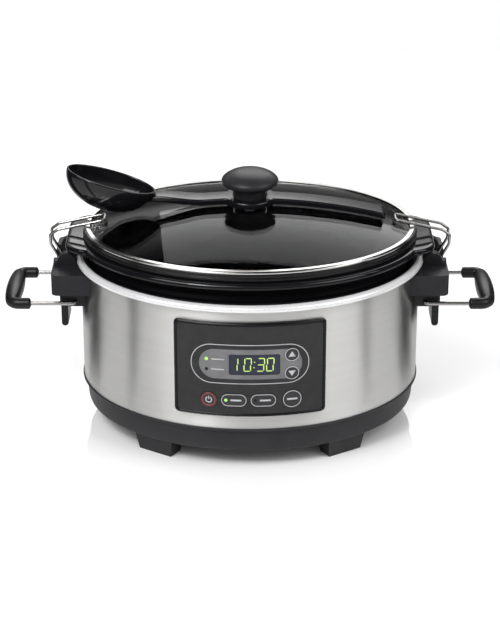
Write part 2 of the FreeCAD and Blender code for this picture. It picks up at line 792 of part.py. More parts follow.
screw_hole = rod("screw_hole", "z", (0, 0, "150"), "50", "3")
glass_solid = fuse(
    "glass_solid",
    dome("glass_top", "0"),
    oval_prism("glass_rim", "glass_long", "glass_short", "glass_edge - glass_thick", "glass_edge"),
)
lid_glass = sub_part(
    cut("lid_glass", glass_solid, dome("glass_under", "-glass_thick"), screw_hole), "lid_glass"
)
glass_full = fuse(
    "glass_full",
    dome("glass_full_top", "0"),
    oval_prism("glass_full_rim", "glass_long", "glass_short", "gasket_low", "glass_edge"),
)
band_solid = oval_stack(
    "band_solid",
    [
        ("glass_long + band_reach - 0.6", "glass_short + band_reach - 0.6", "gasket_low + 2.6"),
        ("glass_long + band_reach", "glass_short + band_reach", "gasket_low + 3.4"),
        ("glass_long + band_reach", "glass_short + band_reach", "glass_edge - 0.6"),
        ("glass_long + band_reach - 0.7", "glass_short + band_reach - 0.7", "glass_edge + 0.6"),
        ("glass_long + 0.4", "glass_short + 0.4", "band_high - 0.3"),
        ("glass_long - 0.8", "glass_short - 0.8", "band_high"),
    ],
)
sub_part(
    cut(
        "lid_band",
        band_solid,
        glass_full,
        oval_prism("band_bore", "glass_long - band_lip", "glass_short - band_lip", "glass_edge", "band_high + 4"),
    ),
    "lid_band",
)
gasket_level = "glass_edge - glass_thick"
gasket_ring = cut(
    "gasket_ring",
    oval_prism("gasket_outside", "glass_long + 4.2", "glass_short + 4.2", "gasket_low", gasket_level),
    oval_prism(
        "gasket_inside",
        "glass_long - gasket_inset",
        "glass_short - gasket_inset",
        "gasket_low - 1",
        "glass_edge",
    ),
)
sub_part(cut("lid_gasket", gasket_ring, band_solid), "lid_gasket")

dome_top = "glass_edge + glass_rise"
screw_body = fuse(
    "screw_body",
    rod("knob_screw_shank", "z", (0, 0, f"{dome_top} - glass_thick - 1"), "17", "2.5"),
    rod("knob_screw_head", "z", (0, 0, f"{dome_top} - glass_thick - 3.4"), "2.4", "5.5"),
)
cap = make("Part::Cylinder", "cap", (0, 0, "cap_low"), Radius="cap_radius", Height="cap_high - cap_low")
cap_crown = make(
    "Part::Ellipsoid",
    "cap_crown",
    (0, 0, "cap_low + 6"),
    Radius1="cap_high - cap_low - 6",
    Radius2="cap_radius",
    Radius3="cap_radius",
)
cap_keel = make(
    "Part::Ellipsoid",
    "cap_keel",
    (0, 0, "cap_low + 6"),
    Radius1="6.8",
    Radius2="cap_radius",
    Radius3="cap_radius",
)
cap_low_half = rod("cap_low_half", "z", (0, 0, "cap_low"), "6", "cap_radius + 1")
cap_high_half = rod("cap_high_half", "z", (0, 0, "cap_low + 6"), "cap_high", "cap_radius + 1")
knob_body = fuse(
    "knob_body",
    cone("neck", f"{dome_top} - 1.2", "cap_low + 1", "neck_radius", "neck_top"),
    common("cap_under", cap_keel, cap_low_half),
    common("cap_over", cap_crown, cap_high_half),
)
sub_part(cut("knob", knob_body, glass_full, screw_body), "knob")
sub_part(screw_body, "knob_screw")

# ---------------------------------------------------------------- dipper


def bowl_shape(name, inset):
    """The lower half of an ellipsoid about the bowl's tilted rim."""
    shape = make(
        "Part::Ellipsoid",
        name,
        Radius1=f"bowl_deep - {inset}",
        Radius2=f"bowl_long - {inset}",
        Radius3=f"bowl_short - {inset}",
    )
    shape.Angle2 = 0
    place_on_rim(shape)
    return shape


def place_on_rim(piece):
    """Puts a piece drawn about the origin on the bowl's tilted rim."""
    piece.Placement = FreeCAD.Placement(FreeCAD.Vector(), FreeCAD.Rotation(Y_AXIS, 1))
    piece.setExpression("Placement.Rotation.Angle", formula("bowl_tilt"))
    piece.setExpression("Placement.Base.x", formula("bowl_x"))
    piece.setExpression("Placement.Base.z", formula("bowl_z"))


bar_plan = fuse(
    "bar_plan",
    block("bar_block", ("-90", "-bar_short", "150"), ("bar_end", "bar_short", "230")),
    rod("ring_disc", "z", (0, 0, "150"), "80", "ring_radius"),
)
bar_layer = cut("bar_layer", dome("bar_top", "bar_gap + bar_thick"), dome("bar_under", "bar_gap"))
bar_solid = cut(
    "bar_solid",
    common("bar_curved", bar_plan, bar_layer),
    rod("ring_hole", "z", (0, 0, "150"), "80", "ring_slot"),
    block("ring_mouth", ("-ring_slot", "0", "150"), ("ring_slot", "60", "230")),
)
dipper_body = fuse("dipper_body", bar_solid, bowl_shape("bowl_outside", "0"))
sub_part(cut("dipper", dipper_body, bowl_shape("bowl_inside", "bowl_wall")), "dipper")

# ---------------------------------------------------------------- side brackets, clips, levers, handles

pin_place = ("pin_x", "-pin_half", "pin_z")
pin = rod("pin", "y", pin_place, "2 * pin_half", "pin_radius")
both_ends(pin, "pivot_pin")
shell_clear = oval_prism("shell_clear", "shell_long", "shell_short", "0", "shell_high")
rim_clear = oval_prism(
    "rim_clear", "shell_long + rim_reach + 0.4", "shell_short + rim_reach + 0.4", "shell_high - 0.6", "190"
)
bracket_outer = rounded_prism(
    "bracket_outer",
    False,
    ("bracket_long / 2 + 50", "0"),
    ("bracket_long / 2 - 50", "bracket_short"),
    "bracket_corner",
    "bracket_low",
    "bracket_high - bracket_low",
)
bracket_pad = rounded_prism(
    "bracket_pad",
    False,
    ("bracket_long / 2 + 50", "0"),
    ("bracket_long / 2 - 50.6", "pad_short"),
    "3",
    "bracket_high - 1",
    "pad_high - bracket_high + 1",
)
hump = rod("hump", "y", ("hump_x", "-pad_short", "hump_z"), "2 * pad_short", "hump_radius")
handle_block = rounded_prism(
    "handle_block",
    False,
    ("block_long / 2 + 50", "0"),
    ("block_long / 2 - 50", "block_short"),
    "3",
    "block_low",
    "bracket_low - block_low + 1",
)
pocket = block("pocket", ("pocket_x", "-pocket_short", "block_low - 5"), ("190", "pocket_short", "160"))
lug = fuse(
    "lug",
    block("lug_arm", ("pocket_x - 1", "-lug_short", "pin_z - 5"), ("pin_x", "lug_short", "pin_z + 4")),
    rod("lug_eye", "y", ("pin_x", "-lug_short", "pin_z"), "2 * lug_short", "4"),
)
bracket_mass = cut(
    "bracket_mass",
    fuse("bracket_blank", bracket_outer, bracket_pad, hump, handle_block),
    pocket,
    shell_clear,
    rim_clear,
)
handle_bores = [
    rod(
        f"handle_bore_{step}",
        "y",
        ("handle_x", start, "handle_z"),
        "handle_bite + handle_wire",
        "handle_wire + handle_fit",
    )
    for step, start in enumerate(["-handle_short", "handle_short - handle_bite - handle_wire"])
]
bracket = cut("bracket", fuse("bracket_lugged", bracket_mass, lug), pin, right_screw_set, *handle_bores)
both_ends(bracket, "bracket")
sub_part(group("bracket_screws", [right_screw_set, left_screw_set]), "bracket_screws")

eye_bore = rod("eye_bore", "y", ("pin_x", "-30", "pin_z"), "60", "pin_radius + pin_fit")
CLIP_BEND = 3.0
clip_y = size("clip_short")
clip_corners = [
    (size("pin_x") + 2.0, size("pin_z") + 0.6),
    (170.6, 158.0),
    (171.2, 166.4),
    (164.6, 171.3),
    (124.6, 179.9),
]
clip_route = [(x, -clip_y, z) for x, z in clip_corners] + [(x, clip_y, z) for x, z in reversed(clip_corners)]
clip_eyes = [
    rod(f"clip_eye_{step}", "y", ("pin_x", middle, "pin_z"), "2 * clip_wire", "eye_radius")
    for step, middle in enumerate(["-clip_short - clip_wire", "clip_short - clip_wire"])
]
clip_body = fuse("clip_body", bent_wire("clip_bail", clip_route, CLIP_BEND, "clip_wire"), *clip_eyes)
both_ends(cut("clip", clip_body, eye_bore), "clip_wire")

lever_arms = []
for step, start in enumerate(["-lever_out", "lever_in"]):
    arm_width = "lever_out - lever_in"
    end = f"({start}) + {arm_width}"
    lever_arms.append(rod(f"lever_eye_{step}", "y", ("pin_x", start, "pin_z"), arm_width, "lever_thick / 2 + 0.4"))
    lever_arms.append(
        block(
            f"lever_arm_{step}",
            ("pin_x - lever_thick / 2", start, "lever_web - 1"),
            ("pin_x + lever_thick / 2", end, "pin_z"),
        )
    )
lever_plate = rounded_prism(
    "lever_plate",
    True,
    ("pin_x", "(lever_low + lever_web) / 2"),
    ("lever_thick / 2", "(lever_web - lever_low) / 2"),
    "lever_thick / 2 - 0.1",
    "-lever_out",
    "2 * lever_out",
)
lever_outline = cut("lever", fuse("lever_body", lever_plate, *lever_arms), eye_bore)
both_ends(lever_outline, "lever")

leg_y = size("handle_short")
bite_y = leg_y - size("handle_bite")
HANDLE_BEND = 3.0
handle_legs = [
    bent_wire(
        f"handle_leg_{step}",
        [
            (size("handle_x"), hand * bite_y, size("handle_z")),
            (size("handle_x"), hand * leg_y, size("handle_z")),
            (size("grip_start") + 14.0, hand * leg_y, size("handle_z")),
        ],
        HANDLE_BEND,
        "handle_wire",
    )
    for step, hand in enumerate((-1, 1))
]
handle_wire = group("handle_wire_pair", handle_legs)
both_ends(handle_wire, "handle_wire")
grip_parts = []
for step, hand in enumerate(("-", "")):
    grip_parts.append(
        rod(
            f"grip_end_{step}",
            "x",
            ("grip_start", f"{hand}handle_short", "handle_z"),
            "grip_x - grip_start",
            "grip_end_radius",
        )
    )
    grip_parts.append(
        make(
            "Part::Sphere",
            f"grip_corner_{step}",
            ("grip_x", f"{hand}handle_short", "handle_z"),
            Radius="grip_end_radius + 0.3",
        )
    )
SWELL = (("0", "grip_mid_radius"), ("15", "grip_mid_radius - 0.7"), ("26", "grip_mid_radius - 2.2"))
SWELL_END = ("handle_short - 2", "grip_end_radius + 0.1")
for (near, wide), (far, narrow) in zip(SWELL, SWELL[1:] + (SWELL_END,)):
    for hand, turn in ((1, -90), (-1, 90)):
        grip_parts.append(
            make(
                "Part::Cone",
                f"grip_swell_{near}_{turn + 90}",
                ("grip_x", f"{hand} * {near}", "handle_z"),
                (X_AXIS, turn),
                Radius1=wide,
                Radius2=narrow,
                Height=f"{far} - {near}",
            )
        )
grip_core = rod("grip_core", "y", ("grip_x", "-handle_short", "handle_z"), "2 * handle_short", "grip_end_radius")
grip = cut("grip", fuse("grip_body", grip_core, *grip_parts), handle_wire)
both_ends(grip, "grip")

# ---------------------------------------------------------------- recompute, test and write

doc.recompute()
for thing in doc.Objects:
    if {"Invalid", "Error"} & set(thing.State):
        raise RuntimeError(f"{thing.Name} failed: {thing.State}")
os.makedirs(PARTS_FOLDER, exist_ok=True)
for piece in sub_parts:
    if piece.Shape.isNull() or not piece.Shape.isValid():
        raise RuntimeError(f"{piece.Label} has no valid shape")
for piece in sub_parts:
    piece.Shape.exportStep(os.path.join(PARTS_FOLDER, piece.Label + ".step"))
    print(f"{piece.Label:18s} {len(piece.Shape.Solids)} solids {piece.Shape.Volume / 1000:9.2f} cm3")
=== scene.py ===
"""The looks of an oval slow cooker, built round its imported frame.

Every shape is worked out in millimetres as whole arrays and put into its mesh in metres. +X is the right
handle, -Y the control panel, +Z up, with the origin on the floor under the cooker.
"""
import logging
import math
from dataclasses import dataclass, field
from enum import Enum
from typing import Sequence

import bmesh
import bpy
import numpy as np
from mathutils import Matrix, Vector


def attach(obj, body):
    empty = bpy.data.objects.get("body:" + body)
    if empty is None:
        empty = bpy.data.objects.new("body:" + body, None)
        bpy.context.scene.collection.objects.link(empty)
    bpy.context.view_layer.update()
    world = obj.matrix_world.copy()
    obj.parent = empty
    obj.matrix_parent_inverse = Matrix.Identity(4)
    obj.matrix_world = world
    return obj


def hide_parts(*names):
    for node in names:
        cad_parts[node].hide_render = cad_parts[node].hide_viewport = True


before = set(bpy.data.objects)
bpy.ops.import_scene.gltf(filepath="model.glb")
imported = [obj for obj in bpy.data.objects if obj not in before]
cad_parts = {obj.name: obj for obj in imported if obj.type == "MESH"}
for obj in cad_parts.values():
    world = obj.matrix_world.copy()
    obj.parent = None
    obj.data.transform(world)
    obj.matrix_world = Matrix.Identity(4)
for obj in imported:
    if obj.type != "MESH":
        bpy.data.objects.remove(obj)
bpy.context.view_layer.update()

Array = np.ndarray
MM = 0.001
UV_NAME = "surface"
log = logging.getLogger("slow_cooker")


class Side(Enum):
    """The cooker's two ends."""

    RIGHT = 1
    LEFT = -1

    @property
    def word(self) -> str:
        """The word that starts the names of this end's pieces."""
        return self.name.lower()


# ---------------------------------------------------------------- outlines and grids


def unit(vectors: Array) -> Array:
    """Vectors over their own lengths."""
    return vectors / np.linalg.norm(vectors, axis=-1, keepdims=True)


def rounded_outline(
    corners: Sequence[tuple[float, float]], radius: float | Sequence[float], steps: int = 5
) -> Array:
    """A closed outline with each corner turned into a tangent arc.

    The arc's centre lies on the corner's bisector at radius / sin(half the corner's angle), and its points
    go from one tangent point to the other in equal turns.

    Args:
        corners: The sharp outline's corners, in order.
        radius: One radius, or one for each corner.
        steps: Straight pieces in each arc.

    Returns:
        The outline's points, one row each.
    """
    points = np.array(corners, float)
    back = unit(np.roll(points, 1, 0) - points)
    on = unit(np.roll(points, -1, 0) - points)
    radii = np.broadcast_to(np.asarray(radius, float), len(points))[:, None]
    half = np.arccos(np.clip((back * on).sum(1), -1, 1))[:, None] / 2
    centre = points + unit(back + on) * radii / np.sin(half)
    first = points + back * radii / np.tan(half) - centre
    last = points + on * radii / np.tan(half) - centre
    start = np.arctan2(first[:, 1], first[:, 0])[:, None]
    turn = np.arctan2(last[:, 1], last[:, 0])[:, None] - start
    turn = (turn + np.pi) % (2 * np.pi) - np.pi
    angle = start + turn * np.linspace(0, 1, steps + 1)
    arcs = centre[:, None, :] + radii[..., None] * np.stack([np.cos(angle), np.sin(angle)], -1)
    return arcs.reshape(-1, 2)


def even_outline(outline: Array, step: float = 1.0) -> Array:
    """A closed outline measured off in equal steps along its own length.

    Args:
        outline: The outline's points.
        step: The most that a step may measure.

    Returns:
        The new points.
    """
    shut = np.vstack([outline, outline[:1]])
    length = np.concatenate([[0], np.cumsum(np.linalg.norm(np.diff(shut, axis=0), axis=1))])
    marks = np.linspace(0, length[-1], math.ceil(length[-1] / step), endpoint=False)
    return np.column_stack([np.interp(marks, length, shut[:, axis]) for axis in (0, 1)])


def rounded_box(half_x: float, half_y: float, radius: float, steps: int = 6) -> Array:
    """A rounded rectangle about the origin."""
    corners = [(half_x, -half_y), (half_x, half_y), (-half_x, half_y), (-half_x, -half_y)]
    return rounded_outline(corners, radius, steps)


def circle(radius: float, count: int = 32) -> Array:
    """A circle about the origin."""
    angle = np.linspace(0, 2 * np.pi, count, endpoint=False)
    return radius * np.stack([np.cos(angle), np.sin(angle)], -1)


def smooth_track(points: Sequence[Sequence[float]], steps: int = 8) -> Array:
    """A curve through every point: between two points it is the cubic whose end slopes are half the
    difference of the neighbours (Catmull and Rom's rule), with the end points doubled.

    Args:
        points: The points to pass through, of any dimension.
        steps: Pieces between two points.

    Returns:
        The curve's points.
    """
    track = np.array(points, float)
    full = np.vstack([track[:1], track, track[-1:]])
    before, start, end, after = full[:-3], full[1:-2], full[2:-1], full[3:]
    along = np.linspace(0, 1, steps, endpoint=False)[None, :, None]
    curve = 0.5 * (
        2 * start[:, None]
        + (end - before)[:, None] * along
        + (2 * before - 5 * start + 4 * end - after)[:, None] * along**2
        + (3 * start - before - 3 * end + after)[:, None] * along**3
    )
    return np.vstack([curve.reshape(-1, track.shape[1]), track[-1:]])


def bent_path(corners: Sequence[Sequence[float]], radius: float, steps: int = 8, run: int = 6) -> Array:
    """An open path of straight runs and tangent arcs through 3-D corners.

    Args:
        corners: The path's ends and corners.
        radius: The arcs' radius.
        steps: Pieces in an arc.
        run: Pieces in a straight run.

    Returns:
        The path's points.
    """
    points = np.array(corners, float)
    inner = points[1:-1]
    back = unit(points[:-2] - inner)
    on = unit(points[2:] - inner)
    half = np.arccos(np.clip((back * on).sum(1), -1, 1))[:, None] / 2
    centre = inner + unit(back + on) * radius / np.sin(half)
    first = inner + back * radius / np.tan(half) - centre
    last = inner + on * radius / np.tan(half) - centre
    share = np.linspace(0, 1, steps + 1)[None, :, None]
    sweep = (np.pi - 2 * half)[..., None]
    arcs = (
        np.sin((1 - share) * sweep) * first[:, None] + np.sin(share * sweep) * last[:, None]
    ) / np.sin(sweep)
    arcs = arcs + centre[:, None]
    starts = np.vstack([points[:1], arcs[:, -1]])
    ends = np.vstack([arcs[:, 0], points[-1:]])
    runs = starts[:, None] + (ends - starts)[:, None] * np.linspace(0, 1, run, endpoint=False)[None, :, None]
    joined = [
        np.vstack([straight[(1 if step else 0):], arc])
        for step, (straight, arc) in enumerate(zip(runs, arcs))
    ]
    return np.vstack([*joined, runs[-1][1:], points[-1:]])


def put_mesh(name: str, points: Array, faces: Array, smooth: bool = True) -> bpy.types.Object:
    """Makes an object from points in millimetres and rows of four corners.

    Doubled points are merged, and the faces are turned outwards by the sign of the volume they close.

    Args:
        name: The object's name.
        points: One row for each point.
        faces: One row of four point numbers for each face.
        smooth: Whether the faces are shaded smooth.

    Returns:
        The new object, linked to the scene.
    """
    mesh = bpy.data.meshes.new(name)
    mesh.from_pydata((points * MM).tolist(), [], faces.tolist())
    work = bmesh.new()
    work.from_mesh(mesh)
    bmesh.ops.remove_doubles(work, verts=work.verts, dist=1e-7)
    bmesh.ops.dissolve_degenerate(work, edges=work.edges, dist=1e-8)
    if work.calc_volume(signed=True) < 0:
        bmesh.ops.reverse_faces(work, faces=work.faces)
    work.to_mesh(mesh)
    work.free()
    mesh.polygons.foreach_set("use_smooth", [smooth] * len(mesh.polygons))
    piece = bpy.data.objects.new(name, mesh)
    bpy.context.scene.collection.objects.link(piece)
    return piece


def grid_faces(rows: int, columns: int, close_rows: bool, close_columns: bool) -> Array:
    """The quads of a grid of points, as rows of four point numbers.

    Args:
        rows: points down the grid.
        columns: points across the grid.
        close_rows: whether the last row joins the first.
        close_columns: whether the last column joins the first.

    Returns:
        One row of four point numbers for each quad.
    """
    row = np.arange(rows if close_rows else rows - 1)
    column = np.arange(columns if close_columns else columns - 1)
    row, column = np.meshgrid(row, column, indexing="ij")
    next_row = (row + 1) % rows
    next_column = (column + 1) % columns
    corners = [row * columns + column, next_row * columns + column]
    corners += [next_row * columns + next_column, row * columns + next_column]
    return np.stack(corners, -1).reshape(-1, 4)


def grid_piece(
    name: str, grid: Array, close_rows: bool, close_columns: bool, weighted: bool = True
) -> bpy.types.Object:
    """An object from a grid of points (rows, columns, 3) in millimetres.

    Args:
        name: The object's name.
        grid: The points.
        close_rows: Whether the last row joins the first.
        close_columns: Whether the last column joins the first.
        weighted: Whether flats keep their own shading beside small rounds.

    Returns:
        The object, with a UV map of its turn round the Z axis at a 130 mm reach and its height, in metres.
    """
    rows, columns = grid.shape[:2]
    piece = put_mesh(name, grid.reshape(-1, 3), grid_faces(rows, columns, close_rows, close_columns))
    add_round_uv(piece)
    if weighted:
        piece.modifiers.new("flats", "WEIGHTED_NORMAL").keep_sharp = True
    return piece


def add_round_uv(piece: bpy.types.Object) -> None:
    """Gives a piece a UV map: the turn round the Z axis in metres at a 130 mm reach, and the height.

    Args:
        piece: the mesh object to map.
    """
    mesh = piece.data
    layer = mesh.uv_layers.new(name=UV_NAME)
    places = np.empty(len(mesh.vertices) * 3)
    mesh.vertices.foreach_get("co", places)
    corner = np.empty(len(mesh.loops), int)
    mesh.loops.foreach_get("vertex_index", corner)
    x, y, z = places.reshape(-1, 3)[corner].T
    starts = np.empty(len(mesh.polygons), int)
    mesh.polygons.foreach_get("loop_start", starts)
    totals = np.empty(len(mesh.polygons), int)
    mesh.polygons.foreach_get("loop_total", totals)
    turn = np.arctan2(x, -y)
    first = np.repeat(turn[starts], totals)
    turn = np.where(turn - first > np.pi, turn - 2 * np.pi, turn)
    turn = np.where(first - turn > np.pi, turn + 2 * np.pi, turn)
    layer.data.foreach_set("uv", np.stack([turn * 0.13, z], -1).ravel())


def oval_ring(
    name: str, outline: Array, long_half: float, short_half: float, turns: int = 320
) -> bpy.types.Object:
    """A closed ring: its outline of (offset, height) is carried round an ellipse, at
    ((long + offset) cos u, (short + offset) sin u, height).

    Args:
        name: the piece's name.
        outline: rows of (offset, height) in millimetres.
        long_half: the ellipse's half length.
        short_half: the ellipse's half width.
        turns: points round the ellipse.

    Returns:
        The ring.
    """
    angle = np.linspace(0, 2 * np.pi, turns, endpoint=False)[:, None]
    offset, height = outline[:, 0][None], outline[:, 1][None]
    grid = np.stack(
        np.broadcast_arrays(
            (long_half + offset) * np.cos(angle), (short_half + offset) * np.sin(angle), height
        ),
        -1,
    )
    return grid_piece(name, grid, True, True)


def oval_solid(name: str, rings: Array, turns: int = 320) -> bpy.types.Object:
    """A closed solid through ovals, each at (long cos u, short sin u, height).

    Args:
        name: the piece's name.
        rings: rows of (long half, short half, height) in millimetres, from pole to pole.
        turns: points round each oval.

    Returns:
        The solid.
    """
    angle = np.linspace(0, 2 * np.pi, turns, endpoint=False)[:, None]
    long_half, short_half, height = (rings[:, axis][None] for axis in range(3))
    grid = np.stack(np.broadcast_arrays(long_half * np.cos(angle), short_half * np.sin(angle), height), -1)
    return grid_piece(name, grid, True, False)


def turned_solid(name: str, profile: Array, turns: int = 128) -> bpy.types.Object:
    """A solid of revolution about Z from (radius, height) rows that start and end on the axis."""
    rings = np.column_stack([profile[:, 0], profile[:, 0], profile[:, 1]])
    return oval_solid(name, rings, turns)


def tube(
    name: str,
    path: Array,
    radius: float | Array,
    aside: Sequence[float] = (0.31, 0.23, 0.92),
    squeeze: float = 1.0,
    sides: int = 20,
    closed: bool = False,
) -> bpy.types.Object:
    """A round bar along a path, shut by its ends' centres.

    Each section lies square to the path: its first axis is the given direction less its share along the
    path, and its second is the path's direction crossed with the first.

    Args:
        name: The object's name.
        path: The path's points.
        radius: One radius, or one for each point.
        aside: A direction that the path never runs along.
        squeeze: The section's second half width over its first.
        sides: Points in a section.
        closed: Whether the path joins its own start.

    Returns:
        The bar.
    """
    ahead = np.roll(path, -1, 0) - np.roll(path, 1, 0)
    if not closed:
        ahead[0] = path[1] - path[0]
        ahead[-1] = path[-1] - path[-2]
    ahead = unit(ahead)
    lean = np.array(aside, float)
    first = unit(lean - (ahead @ lean)[:, None] * ahead)
    second = np.cross(ahead, first)
    angle = np.linspace(0, 2 * np.pi, sides, endpoint=False)
    radii = np.broadcast_to(np.asarray(radius, float), len(path))[:, None, None]
    ring = (
        first[:, None] * np.cos(angle)[None, :, None]
        + second[:, None] * np.sin(angle)[None, :, None] * squeeze
    )
    grid = path[:, None] + radii * ring
    if not closed:
        grid = np.concatenate(
            [np.repeat(path[:1, None], sides, 1), grid, np.repeat(path[-1:, None], sides, 1)], 0
        )
    return grid_piece(name, grid, closed, True)


def softened(node: str, name: str, width: float, angle: float = 0.5) -> bpy.types.Object:
    """A copy of a CAD node with its sharp edges rounded, standing for the node.

    Args:
        node: The CAD node.
        name: The new piece's name.
        width: How far a rounded edge reaches into its faces, in millimetres.
        angle: The least turn between faces, in radians, that makes an edge sharp.

    Returns:
        The new piece, not yet riding on its body.
    """
    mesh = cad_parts[node].data.copy()
    mesh.materials.clear()
    work = bmesh.new()
    work.from_mesh(mesh)
    bmesh.ops.remove_doubles(work, verts=work.verts, dist=2e-6)
    bmesh.ops.dissolve_limit(work, angle_limit=0.02, verts=work.verts, edges=work.edges)
    work.to_mesh(mesh)
    work.free()
    mesh.polygons.foreach_set("use_smooth", [True] * len(mesh.polygons))
    piece = bpy.data.objects.new(name, mesh)
    bpy.context.scene.collection.objects.link(piece)
    bevel = piece.modifiers.new("rounded_edges", "BEVEL")
    bevel.width = width * MM
    bevel.segments = 3
    bevel.limit_method = "ANGLE"
    bevel.angle_limit = angle
    bevel.use_clamp_overlap = True
    piece.modifiers.new("flats", "WEIGHTED_NORMAL").keep_sharp = True
    return piece


def shown_as(
    piece: bpy.types.Object, body: str, slot: str, finish: bpy.types.Material, *nodes: str
) -> bpy.types.Object:
    """Dresses a piece, lets it ride on its body and stand for CAD nodes, and reports it.

    Args:
        piece: The new piece.
        body: The body that it moves with.
        slot: The record's slot that its finish belongs to; not used.
        finish: Its material.
        nodes: The CAD nodes that it stands for.

    Returns:
        The piece.
    """
    piece.data.materials.clear()
    piece.data.materials.append(finish)
    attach(piece, body)
    if nodes:
        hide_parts(*nodes)
    log.info("%s rides on %s", piece.name, body)
    return piece


def dress(finish: bpy.types.Material, *nodes: str) -> None:
    """Gives CAD nodes that stay in sight a finish.

    Args:
        finish: the material.
        *nodes: the nodes' names.
    """
    for node in nodes:
        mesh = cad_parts[node].data
        if not mesh.materials:
            mesh.materials.append(finish)
        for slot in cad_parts[node].material_slots:
            slot.material = finish
        log.info("%s keeps its shape", node)


# ---------------------------------------------------------------- finishes


@dataclass(frozen=True)
class Finish:
    """A surface with fine grain: noise turns its roughness and colour a little and raises its bump."""

    name: str
    colour: tuple[float, float, float]
    roughness: float = 0.4
    metallic: float = 0.0
    grain: float = 900.0
    grain_depth: float = 0.05
    colour_swing: float = 0.12
    roughness_swing: float = 0.08
    stretch: tuple[float, float, float] = (1.0, 1.0, 1.0)
    coat: float = 0.0
    specular: float = 0.5
    transmission: float = 0.0
    refraction: float = 1.45
    anisotropy: float = 0.0
    glow: float = 0.0
    on_surface: bool = False

    def build(self) -> bpy.types.Material:
        """Makes the material.

        Returns:
            A node material on Object coordinates, or on the piece's own UV map for a brushed finish.
        """
        material = bpy.data.materials.new(self.name)
        material.use_nodes = True
        tree = material.node_tree
        shader = tree.nodes["Principled BSDF"]
        shader.inputs["Metallic"].default_value = self.metallic
        shader.inputs["Coat Weight"].default_value = self.coat
        shader.inputs["Coat Roughness"].default_value = 0.06
        shader.inputs["Specular IOR Level"].default_value = self.specular
        shader.inputs["Transmission Weight"].default_value = self.transmission
        shader.inputs["IOR"].default_value = self.refraction
        shader.inputs["Anisotropic"].default_value = self.anisotropy
        shader.inputs["Anisotropic Rotation"].default_value = 0.25
        if self.glow:
            shader.inputs["Emission Color"].default_value = (*self.colour, 1)
            shader.inputs["Emission Strength"].default_value = self.glow
        place = tree.nodes.new("ShaderNodeTexCoord")
        mapping = tree.nodes.new("ShaderNodeMapping")
        mapping.inputs["Scale"].default_value = self.stretch
        tree.links.new(place.outputs["UV" if self.on_surface else "Object"], mapping.inputs["Vector"])
        fine = self._noise(tree, mapping, self.grain, 4.0)
        broad = self._noise(tree, mapping, self.grain * 0.05, 2.0)
        tree.links.new(
            self._spread(tree, fine, self.roughness, self.roughness_swing), shader.inputs["Roughness"]
        )
        shade = self._spread(tree, broad, 1.0, self.colour_swing)
        mix = tree.nodes.new("ShaderNodeVectorMath")
        mix.operation = "SCALE"
        mix.inputs[0].default_value = self.colour
        tree.links.new(shade, mix.inputs["Scale"])
        tree.links.new(mix.outputs["Vector"], shader.inputs["Base Color"])
        bump = tree.nodes.new("ShaderNodeBump")
        bump.inputs["Strength"].default_value = self.grain_depth
        bump.inputs["Distance"].default_value = 0.0004
        tree.links.new(fine, bump.inputs["Height"])
        tree.links.new(bump.outputs["Normal"], shader.inputs["Normal"])
        return material

    @staticmethod
    def _noise(
        tree: bpy.types.NodeTree, mapping: bpy.types.Node, scale: float, detail: float
    ) -> bpy.types.NodeSocket:
        """A noise pattern's factor on the mapped place.

        Args:
            tree: the material's node tree.
            mapping: the Mapping node that the pattern reads.
            scale: how fine the pattern is.
            detail: how many finer layers it has.

        Returns:
            The factor's socket.
        """
        noise = tree.nodes.new("ShaderNodeTexNoise")
        noise.inputs["Scale"].default_value = scale
        noise.inputs["Detail"].default_value = detail
        tree.links.new(mapping.outputs["Vector"], noise.inputs["Vector"])
        return noise.outputs["Fac"]

    @staticmethod
    def _spread(
        tree: bpy.types.NodeTree, factor: bpy.types.NodeSocket, middle: float, swing: float
    ) -> bpy.types.NodeSocket:
        """The factor spread over middle less swing to middle plus swing.

        Args:
            tree: the material's node tree.
            factor: the pattern's factor.
            middle: the middle of the values.
            swing: how far they go either way.

        Returns:
            The spread value's socket.
        """
        spread = tree.nodes.new("ShaderNodeMapRange")
        spread.inputs["From Min"].default_value = 0.3
        spread.inputs["From Max"].default_value = 0.7
        spread.inputs["To Min"].default_value = max(middle - swing, 0.0)
        spread.inputs["To Max"].default_value = middle + swing
        tree.links.new(factor, spread.inputs["Value"])
        return spread.outputs["Result"]


